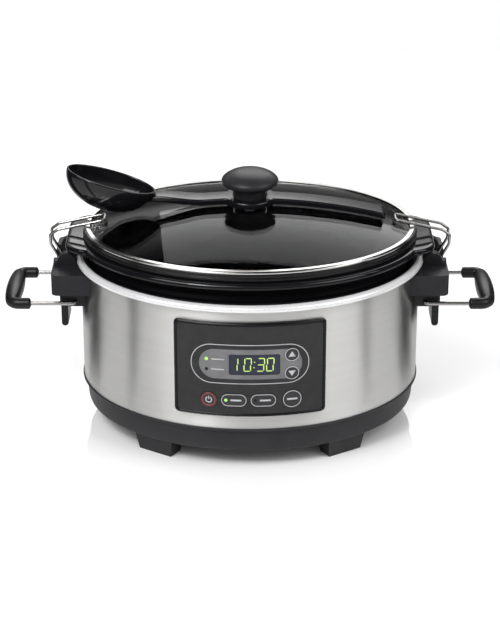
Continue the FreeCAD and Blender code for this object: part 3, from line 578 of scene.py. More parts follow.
class Palette:
    """Every finish on the cooker, made once."""

    def __init__(self) -> None:
        """Builds the materials."""
        self.wrap = Finish(
            "brushed_wrap", (0.72, 0.715, 0.705), 0.34, 1.0, 60.0, 0.03, 0.02, 0.04, (1, 60, 1),
            anisotropy=0.9, on_surface=True,
        ).build()
        self.rim = Finish("bright_rim", (0.80, 0.80, 0.81), 0.3, 0.4, 500.0, 0.003, 0.03, 0.03).build()
        self.lid_band = Finish(
            "polished_band", (0.62, 0.61, 0.60), 0.18, 1.0, 600.0, 0.01, 0.04, 0.03
        ).build()
        self.wire = Finish("bright_wire", (0.42, 0.41, 0.40), 0.22, 1.0, 700.0, 0.02, 0.05, 0.05).build()
        self.base = Finish(
            "base_moulding", (0.020, 0.020, 0.022), 0.42, 0.0, 1600.0, 0.12, specular=0.35
        ).build()
        self.bracket = Finish(
            "bracket_moulding", (0.014, 0.014, 0.016), 0.4, 0.0, 1500.0, 0.12, specular=0.3
        ).build()
        self.grip = Finish(
            "grip_moulding", (0.010, 0.010, 0.011), 0.3, 0.0, 1300.0, 0.08, specular=0.3
        ).build()
        self.knob = Finish(
            "knob_moulding", (0.018, 0.018, 0.020), 0.38, 0.0, 1500.0, 0.1, specular=0.3
        ).build()
        self.glaze = Finish(
            "crock_glaze", (0.005, 0.005, 0.006), 0.07, 0.0, 90.0, 0.002, 0.1, 0.02, specular=0.4
        ).build()
        self.dipper = Finish(
            "dipper_nylon", (0.005, 0.005, 0.006), 0.12, 0.0, 300.0, 0.005, 0.1, 0.03, specular=0.5
        ).build()
        self.gasket = Finish("lid_seal", (0.006, 0.006, 0.006), 0.22, 0.0, 900.0, 0.02, specular=0.3).build()
        self.glass = Finish(
            "lid_glass", (0.97, 0.98, 0.975), 0.01, 0.0, 60.0, 0.0, 0.01, 0.005,
            transmission=1.0, refraction=1.16,
        ).build()
        self.bezel = Finish(
            "panel_bezel", (0.004, 0.004, 0.005), 0.22, 0.0, 900.0, 0.02, specular=0.25
        ).build()
        self.plate = Finish(
            "panel_plate", (0.026, 0.026, 0.027), 0.42, 0.0, 2200.0, 0.05, specular=0.25
        ).build()
        self.key = Finish("key_face", (0.034, 0.034, 0.036), 0.4, 0.0, 2000.0, 0.05, specular=0.25).build()
        self.pill = Finish("panel_pill", (0.15, 0.15, 0.155), 0.4, 0.0, 2000.0, 0.03, specular=0.25).build()
        self.print_white = Finish("panel_print", (0.42, 0.42, 0.43), 0.45, 0.0, 1500.0, 0.0).build()
        self.print_red = Finish("power_ring", (0.16, 0.035, 0.038), 0.4, 0.0, 1500.0, 0.0).build()
        self.window = Finish(
            "display_window", (0.028, 0.030, 0.048), 0.2, 0.0, 400.0, 0.0, specular=0.25
        ).build()
        self.digits = Finish("display_digits", (0.40, 0.56, 0.14), 0.4, 0.0, 500.0, 0.0, glow=0.35).build()
        self.lamp = Finish("lamp_green", (0.30, 0.78, 0.14), 0.3, 0.0, 500.0, 0.0, glow=0.5).build()
        self.lamp_off = Finish("lamp_dark", (0.004, 0.005, 0.005), 0.2, 0.0, 500.0, 0.0).build()
        self.well = Finish("well_coating", (0.012, 0.012, 0.013), 0.45, 0.3, 700.0, 0.05).build()
        self.sheet_metal = Finish("plain_metal", (0.55, 0.55, 0.55), 0.3, 1.0, 800.0, 0.04).build()
        self.board = Finish("board_lacquer", (0.02, 0.11, 0.045), 0.3, 0.0, 500.0, 0.03).build()
        self.electric = Finish("electric_moulding", (0.03, 0.03, 0.035), 0.35, 0.0, 900.0, 0.05).build()


# ---------------------------------------------------------------- casing


@dataclass
class Casing:
    """The steel wrap, its bright rim, the black base and what stands under and inside them."""

    palette: Palette
    long_half: float = 146.0
    short_half: float = 122.0
    wall: float = 0.8
    wrap_low: float = 39.0
    wrap_high: float = 145.3
    rim_reach: float = 3.8
    rim_crest: float = 150.5
    base_low: float = 15.9
    lip_low: float = 37.0
    sunk_half: float = 56.0
    sunk_heights: tuple[float, float] = (57.5, 129.5)
    sunk_depth: float = 2.6

    def build(self) -> None:
        """Builds and dresses every casing piece."""
        self._wrap()
        self._rim()
        self._base()
        feet = softened("feet", "moulded_feet", 1.4)
        shown_as(feet, "cooker", "base_plastic", self.palette.base, "feet")
        gland = softened("cord_gland", "cord_gland_moulded", 0.6)
        shown_as(gland, "cooker", "base_plastic", self.palette.base, "cord_gland")
        dress(self.palette.well, "heating_well")
        dress(
            self.palette.sheet_metal,
            "base_screws", "centre_stud", "centre_nut", "bracket_screws", "heater_band",
        )
        dress(self.palette.electric, "thermostat", "thermal_fuse", "relay")
        dress(self.palette.board, "power_board")

    def _wrap(self) -> None:
        """The steel wrap: a thin wall carried round the oval, sunk behind the panel to leave the keys room.

        The wall's offset is its outline's own, less the sunk depth wherever the place is in front, nearer
        the middle than the sunk half width, and between the sunk heights.
        """
        low, high = self.sunk_heights
        ladder = [self.wrap_low, low - 0.2, low, high, high + 0.2, self.wrap_high]
        heights = np.array([*ladder, *reversed(ladder)])
        offsets = np.repeat([0.0, -self.wall], len(ladder))
        angle = np.linspace(0, 2 * np.pi, 480, endpoint=False)[:, None]
        x, y = self.long_half * np.cos(angle), self.short_half * np.sin(angle)
        behind = (np.abs(x) < self.sunk_half) & (y < 0) & (heights >= low) & (heights <= high)
        reach = offsets - self.sunk_depth * behind
        grid = np.stack(
            np.broadcast_arrays(
                (self.long_half + reach) * np.cos(angle), (self.short_half + reach) * np.sin(angle), heights
            ), -1
        )
        piece = grid_piece("steel_wrap", grid, True, True)
        shown_as(piece, "cooker", "steel_wrap", self.palette.wrap, "shell_wrap")

    def _rim(self) -> None:
        """The rolled rim: a rounded hook over the wrap's top edge."""
        reach, low, crest = self.rim_reach, self.wrap_high, self.rim_crest
        corners = [(-1.4, low), (reach, low), (reach, crest - 1.4), (0.6, crest), (-1.4, crest)]
        outline = rounded_outline(corners, [0.3, 1.1, 2.6, 0.9, 0.5], 6)
        piece = oval_ring("rolled_rim", outline, self.long_half, self.short_half, 400)
        shown_as(piece, "cooker", "rim_chrome", self.palette.rim, "top_rim")

    def _base(self) -> None:
        """The black base: a skirt that curves under, with a proud lip below the steel."""
        side = smooth_track(
            [(-6.4, self.base_low), (-4.6, self.base_low + 0.7), (-3.5, self.base_low + 3),
             (-2.9, self.base_low + 9), (-2.5, self.lip_low - 0.5)], 5
        )
        lip = rounded_outline(
            [(-2.5, self.lip_low), (1.0, self.lip_low), (1.0, self.wrap_low), (-1.0, self.wrap_low)], 0.55, 4
        )[5:15]
        inside = [(-1.0, self.wrap_low), (-1.0, self.wrap_low + 6.5), (-3.2, self.wrap_low + 6.5)]
        inner_wall = [(-6.1, self.lip_low), (-6.1, self.base_low + 3.0)]
        offsets = np.vstack([side, lip, inside, inner_wall])
        rings = np.column_stack(
            [self.long_half + offsets[:, 0], self.short_half + offsets[:, 0], offsets[:, 1]]
        )
        under = [(0, 0, self.base_low)]
        floor = [(0, 0, self.base_low + 3.0)]
        piece = oval_solid("base_skirt", np.vstack([under, rings, floor]), 360)
        shown_as(piece, "cooker", "base_plastic", self.palette.base, "base_pan")


# ---------------------------------------------------------------- crock


@dataclass
class Crock:
    """The glazed black crock with its rolled flange and two lifting tabs."""

    palette: Palette
    flange_long: float = 149.0
    flange_short: float = 117.0
    tab_long: float = 157.0
    tab_short: float = 42.0
    tab_corner: float = 20.0
    blend: float = 1.3
    turns: int = 480

    def build(self) -> None:
        """Builds the crock."""
        angle = np.linspace(0, 2 * np.pi, self.turns, endpoint=False)
        edge = self._flange_reach(angle)
        outer = smooth_track(
            [(115, 83, 40.6), (118.5, 86.5, 41.0), (123.5, 91.5, 43), (127.5, 95.5, 47), (134.3, 102.3, 65),
             (137.5, 105.5, 100), (138.6, 106.6, 140), (139, 107, 159.4)], 4
        )
        inner = smooth_track(
            [(136.4, 104.4, 165.9), (134.2, 102.2, 165.2), (133.1, 101.1, 163.2), (132.6, 100.6, 150),
             (131.5, 99.5, 100), (128.5, 96.5, 70), (122.5, 90.5, 55), (117, 85, 49.6), (109, 77, 47.7)], 5
        )
        lip = [(-2.0, 160.6), (-0.9, 160.9), (-0.2, 161.6), (0.0, 162.5), (-0.1, 163.6), (-0.5, 164.6),
               (-1.3, 165.4), (-2.5, 165.9), (-4.0, 166.0)]
        columns = [np.zeros((self.turns, 2)) + (0, 40.6)]
        columns += [self._oval_column(row, angle) for row in outer]
        columns += [np.column_stack([edge + offset, np.full(self.turns, height)]) for offset, height in lip]
        columns += [self._oval_column(row, angle) for row in inner]
        columns += [np.zeros((self.turns, 2)) + (0, 47.6)]
        reach, height = np.stack(columns, 1).transpose(2, 0, 1)
        grid = np.stack([reach * np.cos(angle)[:, None], reach * np.sin(angle)[:, None], height], -1)
        piece = grid_piece("glazed_crock", grid, True, False)
        shown_as(piece, "crock", "crock_glaze", self.palette.glaze, "crock")

    def _oval_column(self, row: Array, angle: Array) -> Array:
        """Reach and height of an oval (long half, short half, height) at each angle from X."""
        long_half, short_half, height = row
        reach = long_half * short_half / np.hypot(short_half * np.cos(angle), long_half * np.sin(angle))
        return np.column_stack([reach, np.full(len(angle), height)])

    def _flange_reach(self, angle: Array) -> Array:
        """The flange's reach at each angle: the larger of the oval's and the tabs', softly joined.

        The tabs are a rounded rectangle. Along a direction its edge is met on the end line, on the side
        line or on the corner's circle, whose far crossing is the centre's share along the direction plus
        the root of the radius squared less the centre's share across it squared.

        Args:
            angle: the directions, in radians from X.

        Returns:
            The reach in millimetres at each angle.
        """
        oval = self._oval_column(np.array([self.flange_long, self.flange_short, 0.0]), angle)[:, 0]
        across, up = np.abs(np.cos(angle)) + 1e-9, np.abs(np.sin(angle)) + 1e-9
        middle_x, middle_y = self.tab_long - self.tab_corner, self.tab_short - self.tab_corner
        share = np.clip(self.tab_corner**2 - (middle_x * up - middle_y * across) ** 2, 0, None)
        corner = middle_x * across + middle_y * up + np.sqrt(share)
        end_line, side_line = self.tab_long / across, self.tab_short / up
        tab = np.where(
            end_line * up <= middle_y, end_line, np.where(side_line * across <= middle_x, side_line, corner)
        )
        gap = np.abs(oval - tab) / self.blend
        return np.maximum(oval, tab) + self.blend * np.log1p(np.exp(-gap))


# ---------------------------------------------------------------- lid


@dataclass
class Lid:
    """The domed glass, its steel band and black seal, and the knob."""

    palette: Palette
    long_half: float = 139.0
    short_half: float = 107.0
    edge: float = 173.0
    rise: float = 20.0
    thick: float = 3.5

    def build(self) -> None:
        """Builds the lid's pieces."""
        self._glass()
        self._band()
        self._knob()
        dress(self.palette.sheet_metal, "knob_screw")

    def dome_height(self, x: Array, y: Array) -> Array:
        """The glass's top at a place: the rise falls with the square of the share of the oval's reach."""
        return self.edge + self.rise * (1 - (x / self.long_half) ** 2 - (y / self.short_half) ** 2)

    def _glass(self) -> None:
        """The glass: the dome's top, a rounded edge, and the same dome one thickness lower."""
        share = np.linspace(0, 0.992, 40)
        top = np.column_stack(
            [share * self.long_half, share * self.short_half, self.edge + self.rise * (1 - share**2)]
        )
        turn = np.linspace(0.3, np.pi - 0.3, 7)
        half = self.thick / 2
        edge_in = self.long_half * 0.992 + np.sin(turn) * 1.1
        edge = np.column_stack(
            [edge_in, edge_in - (self.long_half - self.short_half), self.edge - half + half * np.cos(turn)]
        )
        under = top[::-1] - (0, 0, self.thick)
        piece = oval_solid("domed_glass", np.vstack([top, edge, under]), 320)
        shown_as(piece, "lid", "lid_glass", self.palette.glass, "lid_glass")

    def _band(self) -> None:
        """The steel band over the glass's edge, and the seal between it and the crock."""
        low, high = 172.4, 174.9
        band = rounded_outline(
            [(0.3, low), (2.9, low), (2.9, self.edge + 0.7), (1.6, high), (-1.9, high),
             (-1.9, self.edge + 1.0), (0.3, self.edge + 0.2)],
            [0.2, 0.5, 0.6, 0.9, 0.3, 0.2, 0.2], 5,
        )
        piece = oval_ring("lid_rim_band", band, self.long_half, self.short_half)
        shown_as(piece, "lid", "lid_band", self.palette.lid_band, "lid_band")
        seal = rounded_outline(
            [(-5.0, 166.3), (4.2, 166.3), (4.2, 168.9), (3.2, 169.6), (3.2, 172.4), (0.3, 172.4),
             (0.3, 169.4), (-5.0, 169.4)],
            [0.6, 0.9, 0.6, 0.5, 0.8, 0.1, 0.1, 0.6], 4,
        )
        piece = oval_ring("lid_seal_ring", seal, self.long_half, self.short_half)
        shown_as(piece, "lid", "gasket", self.palette.gasket, "lid_gasket")

    def _knob(self) -> None:
        """The knob: a waisted neck under a flat rounded cap, turned about Z."""
        profile = smooth_track(
            [(0, 223.0), (9, 222.5), (16, 220.7), (21, 218.0), (23.6, 215.6), (24.2, 213.6), (23.5, 211.4),
             (20.8, 209.4), (17.2, 208.3), (14.7, 207.2), (13.8, 204.5), (13.5, 200.0), (13.8, 196.0),
             (14.4, 193.6), (14.2, 192.6)], 8
        )
        profile = np.vstack([profile, [(0, 192.6)]])
        piece = turned_solid("lid_knob", profile)
        shown_as(piece, "lid", "knob_plastic", self.palette.knob, "knob")


# ---------------------------------------------------------------- dipper


@dataclass
class Dipper:
    """The black dipper stored on the knob: an oval bowl on a flat curved handle with an open ring."""

    palette: Palette
    lid: Lid
    bowl_long: float = 39.0
    bowl_short: float = 22.0
    bowl_deep: float = 27.5
    wall: float = 2.0
    bowl_x: float = -118.0
    bowl_z: float = 214.0
    tilt: float = math.radians(16.3)
    bar_half: float = 9.5
    bar_end: float = 115.0
    gap: float = 2.2
    thick: float = 5.6
    edge_radius: float = 1.7
    ring_radius: float = 22.0
    slot_radius: float = 14.7
    bar_start: float = -82.4
    neck_start: float = -60.0
    neck_run: float = 22.4
    neck_slim: float = 2.3
    rise_start: float = -38.0
    rise_run: float = 46.0
    rise: float = 7.2

    def build(self) -> None:
        """Builds the bowl and the handle."""
        shown_as(self._handle(), "dipper", "dipper_nylon", self.palette.dipper, "dipper")
        shown_as(self._bowl(), "dipper", "dipper_nylon", self.palette.dipper)

    def _bowl(self) -> bpy.types.Object:
        """The bowl: the lower half of one ellipsoid inside another, joined by a rounded rim.

        A point is (long sin t cos u, short sin t sin u, -deep cos t), and the whole is turned about Y by
        the tilt and moved to the rim's centre.

        Returns:
            The bowl.
        """
        turn = np.linspace(0, np.pi / 2, 22)
        around = np.linspace(0, 2 * np.pi, 96, endpoint=False)[:, None]
        roll = np.linspace(0, np.pi, 7)[1:-1]
        lift = np.sin(roll) * self.wall * 0.5
        inset = self.wall * (1 - np.cos(roll)) / 2
        inner_turn = turn[::-1]
        long_reach = np.concatenate(
            [self.bowl_long * np.sin(turn), self.bowl_long - inset,
             (self.bowl_long - self.wall) * np.sin(inner_turn)]
        )
        short_reach = np.concatenate(
            [self.bowl_short * np.sin(turn), self.bowl_short - inset,
             (self.bowl_short - self.wall) * np.sin(inner_turn)]
        )
        height = np.concatenate(
            [-self.bowl_deep * np.cos(turn), lift, -(self.bowl_deep - self.wall) * np.cos(inner_turn)]
        )
        x, y, z = np.broadcast_arrays(long_reach * np.cos(around), short_reach * np.sin(around), height)
        grid = np.stack(
            [x * math.cos(self.tilt) + z * math.sin(self.tilt) + self.bowl_x, y,
             z * math.cos(self.tilt) - x * math.sin(self.tilt) + self.bowl_z], -1
        )
        return grid_piece("dipper_bowl", grid, True, False)

    def _handle(self) -> bpy.types.Object:
        """The handle: a rounded section carried along X over the dome.

        The section's two sides follow the bar, swell to the ring's circle, and leave the neck's slot,
        which opens to the back. The bar lifts towards the bowl by a smooth step.

        Returns:
            The handle.
        """
        ring = np.sqrt(max(self.ring_radius**2 - self.bar_half**2, 0))
        slot = self.slot_radius
        x = np.concatenate([
            np.linspace(self.bar_start, -ring, 30), np.linspace(-ring, -slot - 1e-3, 10),
            np.linspace(-slot, slot, 41),
            np.linspace(slot + 1e-3, ring, 10), np.linspace(ring, self.bar_end, 36),
        ])
        circle_half = np.sqrt(np.clip(self.ring_radius**2 - x**2, 0, None))
        neck = np.clip((self.neck_start - x) / self.neck_run, 0, 1)
        neck = neck**2 * (3 - 2 * neck)
        wide = np.maximum(self.bar_half - self.neck_slim * neck, circle_half)
        in_slot = np.abs(x) <= slot
        low = -wide
        high = np.where(in_slot, -np.sqrt(np.clip(slot**2 - x**2, 0, None)), wide)
        share = np.clip((self.rise_start - x) / self.rise_run, 0, 1)
        lift = self.rise * share**2 * (3 - 2 * share)
        section = rounded_box(0.5, 0.5, 0.2, 4)
        middle, half = (low + high) / 2, (high - low) / 2
        easing = np.minimum(np.abs(section), 0.5)
        radius = self.edge_radius
        side = np.sign(section[:, 0]) * np.minimum(1, easing[:, 0] / 0.5)
        flat = np.sign(section[:, 1]) * np.minimum(1, easing[:, 1] / 0.5)
        reach_y = half[:, None] * np.sign(side) - np.sign(side) * radius * (1 - np.abs(side)) / 0.4
        y = middle[:, None] + reach_y
        level = self.lid.dome_height(x[:, None], y) + self.gap + self.thick / 2 + lift[:, None]
        z = level + np.sign(flat) * (self.thick / 2 - radius * (1 - np.abs(flat)) / 0.4)
        along = x[:, None] + neck[:, None] * (0.57 * (z - level) - 2.0 * (y / 7.0) ** 2)
        grid = np.stack(np.broadcast_arrays(along, y, z), -1)
        ends = grid.mean(1, keepdims=True)
        grid = np.concatenate(
            [np.repeat(ends[:1], grid.shape[1], 1), grid, np.repeat(ends[-1:], grid.shape[1], 1)], 0
        )
        return grid_piece("dipper_handle", grid, False, True)


# ---------------------------------------------------------------- side gear


@dataclass
class SideGear:
    """One end's bracket with its clip wire, lever, pin and swinging carry handle."""

    palette: Palette
    side: Side
    pin: tuple[float, float] = (160.5, 142.5)
    clip_half: float = 7.5
    clip_radius: float = 1.25
    leg_half: float = 34.0
    pivot: tuple[float, float] = (150.0, 114.0)
    wire_radius: float = 1.8
    grip_start: float = 187.0
    grip_line: float = 204.0

    def build(self) -> None:
        """Builds and dresses this end's pieces."""
        word = self.side.word
        bracket = softened(word + "_bracket", word + "_bracket_moulded", 1.3)
        shown_as(bracket, "cooker", "bracket_plastic", self.palette.bracket, word + "_bracket")
        lever = softened(word + "_lever", word + "_lever_moulded", 1.2)
        shown_as(lever, word + "_lever", "lever_plastic", self.palette.grip, word + "_lever")
        dress(self.palette.sheet_metal, word + "_pivot_pin")
        self._clip()
        self._handle()

    def _flip(self, points: Array) -> Array:
        """Points drawn for the right end, moved to this end."""
        return points * (self.side.value, 1, 1)

    def _clip(self) -> None:
        """The clip: one bent wire from eye to eye over the lid's edge, with a ring at each end."""
        x, z = self.pin
        climb = [(x + 2.0, z + 0.6), (170.6, 158.0), (171.2, 166.4), (164.6, 171.3), (124.6, 179.9)]
        front = [(along, -self.clip_half, up) for along, up in climb]
        back = [(along, self.clip_half, up) for along, up in reversed(climb)]
        path = self._flip(bent_path(front + back, 3.0))
        word = self.side.word
        wire = tube(word + "_clip_bail", path, self.clip_radius, aside=(0.5, 0.4, 0.77), sides=16)
        shown_as(wire, word + "_clip", "wire_steel", self.palette.wire, word + "_clip_wire")
        for hand, place in ((-1, "front"), (1, "back")):
            turn = np.linspace(0, 2 * np.pi, 40, endpoint=False)
            ring = np.stack(
                [x + 2.4 * np.cos(turn), np.full(40, hand * self.clip_half), z + 2.4 * np.sin(turn)], -1
            )
            eye = tube(
                f"{word}_clip_eye_{place}", self._flip(ring), 0.85, aside=(0, 1, 0), sides=12, closed=True
            )
            shown_as(eye, word + "_clip", "wire_steel", self.palette.wire)

    def _handle(self) -> None:
        """The carry handle: two bent wire legs in a grip that swells in the middle."""
        x, z = self.pivot
        word = self.side.word
        for hand, place in ((-1, "front"), (1, "back")):
            corners = [(x, hand * (self.leg_half - 12), z), (x, hand * self.leg_half, z),
                       (self.grip_start + 12, hand * self.leg_half, z)]
            path = self._flip(bent_path(corners, 3.0))
            leg = tube(f"{word}_handle_leg_{place}", path, self.wire_radius, aside=(0, 0, 1), sides=20)
            nodes = (word + "_handle_wire",) if hand < 0 else ()
            shown_as(leg, word + "_handle", "wire_steel", self.palette.wire, *nodes)
        corners = [(self.grip_start, -self.leg_half, z), (self.grip_line, -self.leg_half, z),
                   (self.grip_line, self.leg_half, z), (self.grip_start, self.leg_half, z)]
        path = bent_path(corners, 7.0, 10, 24)
        across = np.abs(path[:, 1]) / self.leg_half
        swell = 4.9 + 2.8 * np.clip(1 - (across / 0.9) ** 2, 0, 1) ** 0.8
        ends = path[:, 0] - self.grip_start
        tip = np.sqrt(np.clip(1 - (1 - np.clip(ends / 2.0, 0, 1)) ** 2, 0.2, 1))
        grip = tube(word + "_grip_moulded", self._flip(path), swell * tip, aside=(0, 0, 1), sides=32)
        shown_as(grip, word + "_handle", "grip_plastic", self.palette.grip, word + "_grip")


# ---------------------------------------------------------------- control panel


@dataclass
class ControlPanel:
    """The curved panel: bezel, plate, window with digits, lamps, keys and their printed marks."""

    palette: Palette
    long_half: float = 146.0
    short_half: float = 122.0
    half: float = 62.4
    low: float = 51.5
    high: float = 135.5
    plate: float = 2.1
    key_face: float = 2.7
    window: tuple[float, float, float] = (3.7, 98.7, 1.8)
    keys: dict[str, tuple[float, float]] = field(
        default_factory=lambda: {
            "key_up": (34.4, 106.9), "key_down": (34.4, 90.5), "key_power": (-34.0, 66.2),
            "key_program": (-13.3, 66.6), "key_manual": (11.0, 66.6), "key_enter": (34.8, 66.7),
        }
    )

    def build(self) -> None:
        """Builds and dresses the panel."""
        self._bezel()
        dress(self.palette.plate, "panel_plate")
        dress(self.palette.window, "display_window")
        dress(self.palette.key, *self.keys)
        dress(self.palette.electric, "display_module", "key_switches")
        dress(self.palette.board, "control_board")
        dress(self.palette.sheet_metal, "board_screws")
        self._display_surround()
        self._digits()
        self._lamps()
        self._key_marks()

    def on_face(self, x: Array, z: Array, proud: Array | float) -> Array:
        """Points over the wrap: y is minus (short + proud) times the root of one less the square of
        x / (long + proud)."""
        x, z, proud = np.broadcast_arrays(x, z, proud)
        y = -(self.short_half + proud) * np.sqrt(1 - (x / (self.long_half + proud)) ** 2)
        return np.stack([x, y, z], -1)

    def _bezel(self) -> None:
        """The bezel: a small rounded section carried round the panel's outline."""
        middle = (self.low + self.high) / 2
        section = rounded_outline([(0, 0.1), (0, 2.0), (0.9, 2.8), (2.0, 2.8), (2.6, 2.2), (2.6, 0.1)],
                                  [0.05, 0.5, 0.5, 0.35, 0.3, 0.05], 4)
        outer = rounded_box(self.half, (self.high - self.low) / 2, 4.0, 8)
        shrink = rounded_box(self.half - 2.6, (self.high - self.low) / 2 - 2.6, 1.6, 8)
        share = section[:, 0][None, :, None] / 2.6
        places = self._dense(outer)[:, None] * (1 - share) + self._dense(shrink)[:, None] * share
        grid = self.on_face(places[..., 0], places[..., 1] + middle, section[:, 1][None])
        piece = grid_piece("panel_bezel_moulded", grid, True, True)
        shown_as(piece, "cooker", "panel_bezel", self.palette.bezel, "panel_bezel")

    @staticmethod
    def _dense(outline: Array, parts: int = 12) -> Array:
        """The same closed outline with every piece cut into equal parts."""
        share = np.linspace(0, 1, parts, endpoint=False)[None, :, None]
        return (outline[:, None] * (1 - share) + np.roll(outline, -1, 0)[:, None] * share).reshape(-1, 2)

    def _patch(
        self, name: str, outline: Array, centre: tuple[float, float], proud: float, thick: float
    ) -> bpy.types.Object:
        """A thin filled shape over the face: its outline joined to its centre, front and back.

        Args:
            name: the piece's name.
            outline: the shape's closed outline in millimetres, round its own centre.
            centre: where the centre lies, along X and in height.
            proud: the back face's place beyond the wrap.
            thick: the shape's thickness.

        Returns:
            The shape.
        """
        outline = even_outline(outline, 0.3)
        share = np.array([0.0, 0.5, 1.0, 1.0, 0.5, 0.0])[None, :, None]
        depth = np.array([thick, thick, thick, 0, 0, 0])[None] + proud
        places = outline[:, None] * share + np.array(centre)
        return grid_piece(
            name, self.on_face(places[..., 0], places[..., 1], depth), True, False, weighted=False
        )

    def _ribbon(
        self, name: str, outline: Array, centre: tuple[float, float], width: float, proud: float, thick: float
    ) -> bpy.types.Object:
        """A thin line along a closed outline: the outline and its copy one width inside, front and back.

        Args:
            name: the piece's name.
            outline: the line's closed outline in millimetres, round its own centre.
            centre: where the centre lies, along X and in height.
            width: the line's width.
            proud: the back face's place beyond the wrap.
            thick: the line's thickness.

        Returns:
            The line.
        """
        outline = even_outline(outline, 0.7)
        ahead = np.roll(outline, -1, 0) - np.roll(outline, 1, 0)
        inward = unit(np.stack([-ahead[:, 1], ahead[:, 0]], -1))
        step = np.array([0, 1, 1, 0])[None, :, None] * width
        depth = np.array([thick, thick, 0, 0])[None] + proud
        places = outline[:, None] + inward[:, None] * step + np.array(centre)
        return grid_piece(
            name, self.on_face(places[..., 0], places[..., 1], depth), True, True, weighted=False
        )

    def _show(
        self,
        piece: bpy.types.Object,
        finish: bpy.types.Material,
        body: str = "cooker",
        slot: str = "panel_plate",
    ) -> None:
        """Shows a printed mark."""
        shown_as(piece, body, slot, finish)

    def _display_surround(self) -> None:
        """The outlined surround and the grey inset round the window."""
        line = self._ribbon(
            "surround_line", rounded_box(48.5, 17.7, 17.0, 14), (0, 98.9), 0.7, self.plate, 0.12
        )
        self._show(line, self.palette.print_white)
        x, z, _ = self.window
        inset = rounded_box(42.2, 13.3, 12.8, 14)
        hole = rounded_box(20.9, 9.2, 1.6, 14)
        outer = self._dense(inset, 10) + (0.5, 98.9)
        inner = self._dense(hole, 10) + (x, z)
        across = np.linspace(0, 1, 12)
        share = np.concatenate([across, across[::-1]])[None, :, None]
        depth = np.repeat([0.12, 0.0], 12)[None] + self.plate
        places = outer[:, None] * (1 - share) + inner[:, None] * share
        grid = self.on_face(places[..., 0], places[..., 1], depth)
        self._show(grid_piece("window_inset", grid, True, True, weighted=False), self.palette.pill)

    def _digits(self) -> None:
        """The clock's digits: slanted seven-bar figures and a colon, all of them short hexagons."""
        tall, wide, bar = 11.4, 5.3, 0.95
        x0, z0, proud = self.window
        bars = {
            "a": ((0, tall / 2), True), "d": ((0, -tall / 2), True), "g": ((0, 0), True),
            "b": ((wide / 2, tall / 4), False), "c": ((wide / 2, -tall / 4), False),
            "f": ((-wide / 2, tall / 4), False), "e": ((-wide / 2, -tall / 4), False),
        }
        figures = {"1": "bc", "0": "abcdef", "3": "abcdg"}
        for step, (figure, along) in enumerate(zip("1030", (-16.6, -5.6, 5.2, 12.9))):
            for segment in figures[figure]:
                (x, z), level = bars[segment]
                long_half = (wide if level else tall / 2) / 2 - 0.12
                ends = [(-long_half, 0), (-long_half + bar / 2, -bar / 2), (long_half - bar / 2, -bar / 2),
                        (long_half, 0), (long_half - bar / 2, bar / 2), (-long_half + bar / 2, bar / 2)]
                shape = np.array(ends) if level else np.array(ends)[:, ::-1][::-1]
                slant = z * 0.12
                patch = self._patch(
                    f"digit_{step}_{segment}", shape, (x0 + along + x + slant, z0 + z), proud, 0.06
                )
                self._show(patch, self.palette.digits, slot="window")
        for step, z in enumerate((-2.4, 2.4)):
            dot = self._patch(
                f"digit_colon_{step}", circle(0.55, 12), (x0 - 0.2 + z * 0.1, z0 + z), proud, 0.06
            )
            self._show(dot, self.palette.digits, slot="window")

    def _lamps(self) -> None:
        """The lit lamp's lens, and the plain bars that stand where each lamp is labelled."""
        for step, z in enumerate((103.1, 94.0)):
            lit = step == 0
            lens = self._patch(f"lamp_lens_{step}", circle(1.4, 20), (-35.7, z), self.plate - 1.6, 2.1)
            finish = self.palette.lamp if lit else self.palette.lamp_off
            shown_as(lens, "cooker", "led", finish, *(("indicator_leds",) if lit else ()))
            label = self._patch(
                f"lamp_label_{step}", rounded_box(5.4, 0.55, 0.3, 3), (-26.4, z), self.plate + 0.1, 0.08
            )
            self._show(label, self.palette.print_white)

    def _key_marks(self) -> None:
        """Outlines on the plate round each key, and each key's sign on its face."""
        triangle = np.array([(-3.0, -1.9), (3.0, -1.9), (0, 2.9)])
        halves = {"key_program": (10.4, 5.45), "key_manual": (10.4, 5.45), "key_enter": (7.6, 7.6),
                  "key_up": (5.8, 5.8), "key_down": (5.8, 5.8), "key_power": (6.5, 6.5)}
        for key, centre in self.keys.items():
            half_x, half_z = halves[key]
            finish = self.palette.print_red if key == "key_power" else self.palette.print_white
            edge = rounded_box(half_x, half_z, half_z * 0.98, 10)
            wide = 1.9 if key == "key_power" else 0.6
            line = self._ribbon(key + "_line", edge, centre, wide, self.key_face, 0.1)
            self._show(line, finish, key, "key_black")
        up, down = self.keys["key_up"], self.keys["key_down"]
        sign = self._patch("sign_up", triangle, up, self.key_face, 0.1)
        self._show(sign, self.palette.print_white, "key_up", "key_black")
        flipped = (triangle * (1, -1))[::-1]
        sign = self._patch("sign_down", flipped, down, self.key_face, 0.1)
        self._show(sign, self.palette.print_white, "key_down", "key_black")
        self._power_sign()
        for key, lamp in (("key_program", self.palette.lamp), ("key_manual", self.palette.lamp_off)):
            x, z = self.keys[key]
            lens = self._patch(key + "_lamp", circle(1.3, 16), (x - 6.6, z), self.key_face, 0.25)
            self._show(lens, lamp, key, "key_black")
            label = self._patch(
                key + "_label", rounded_box(4.6, 0.8, 0.4, 3), (x + 1.6, z), self.key_face, 0.1
            )
            self._show(label, self.palette.print_white, key, "key_black")
        x, z = self.keys["key_enter"]
        label = self._patch("key_enter_label", rounded_box(4.4, 0.8, 0.4, 3), (x, z), self.key_face, 0.1)
        self._show(label, self.palette.print_white, "key_enter", "key_black")

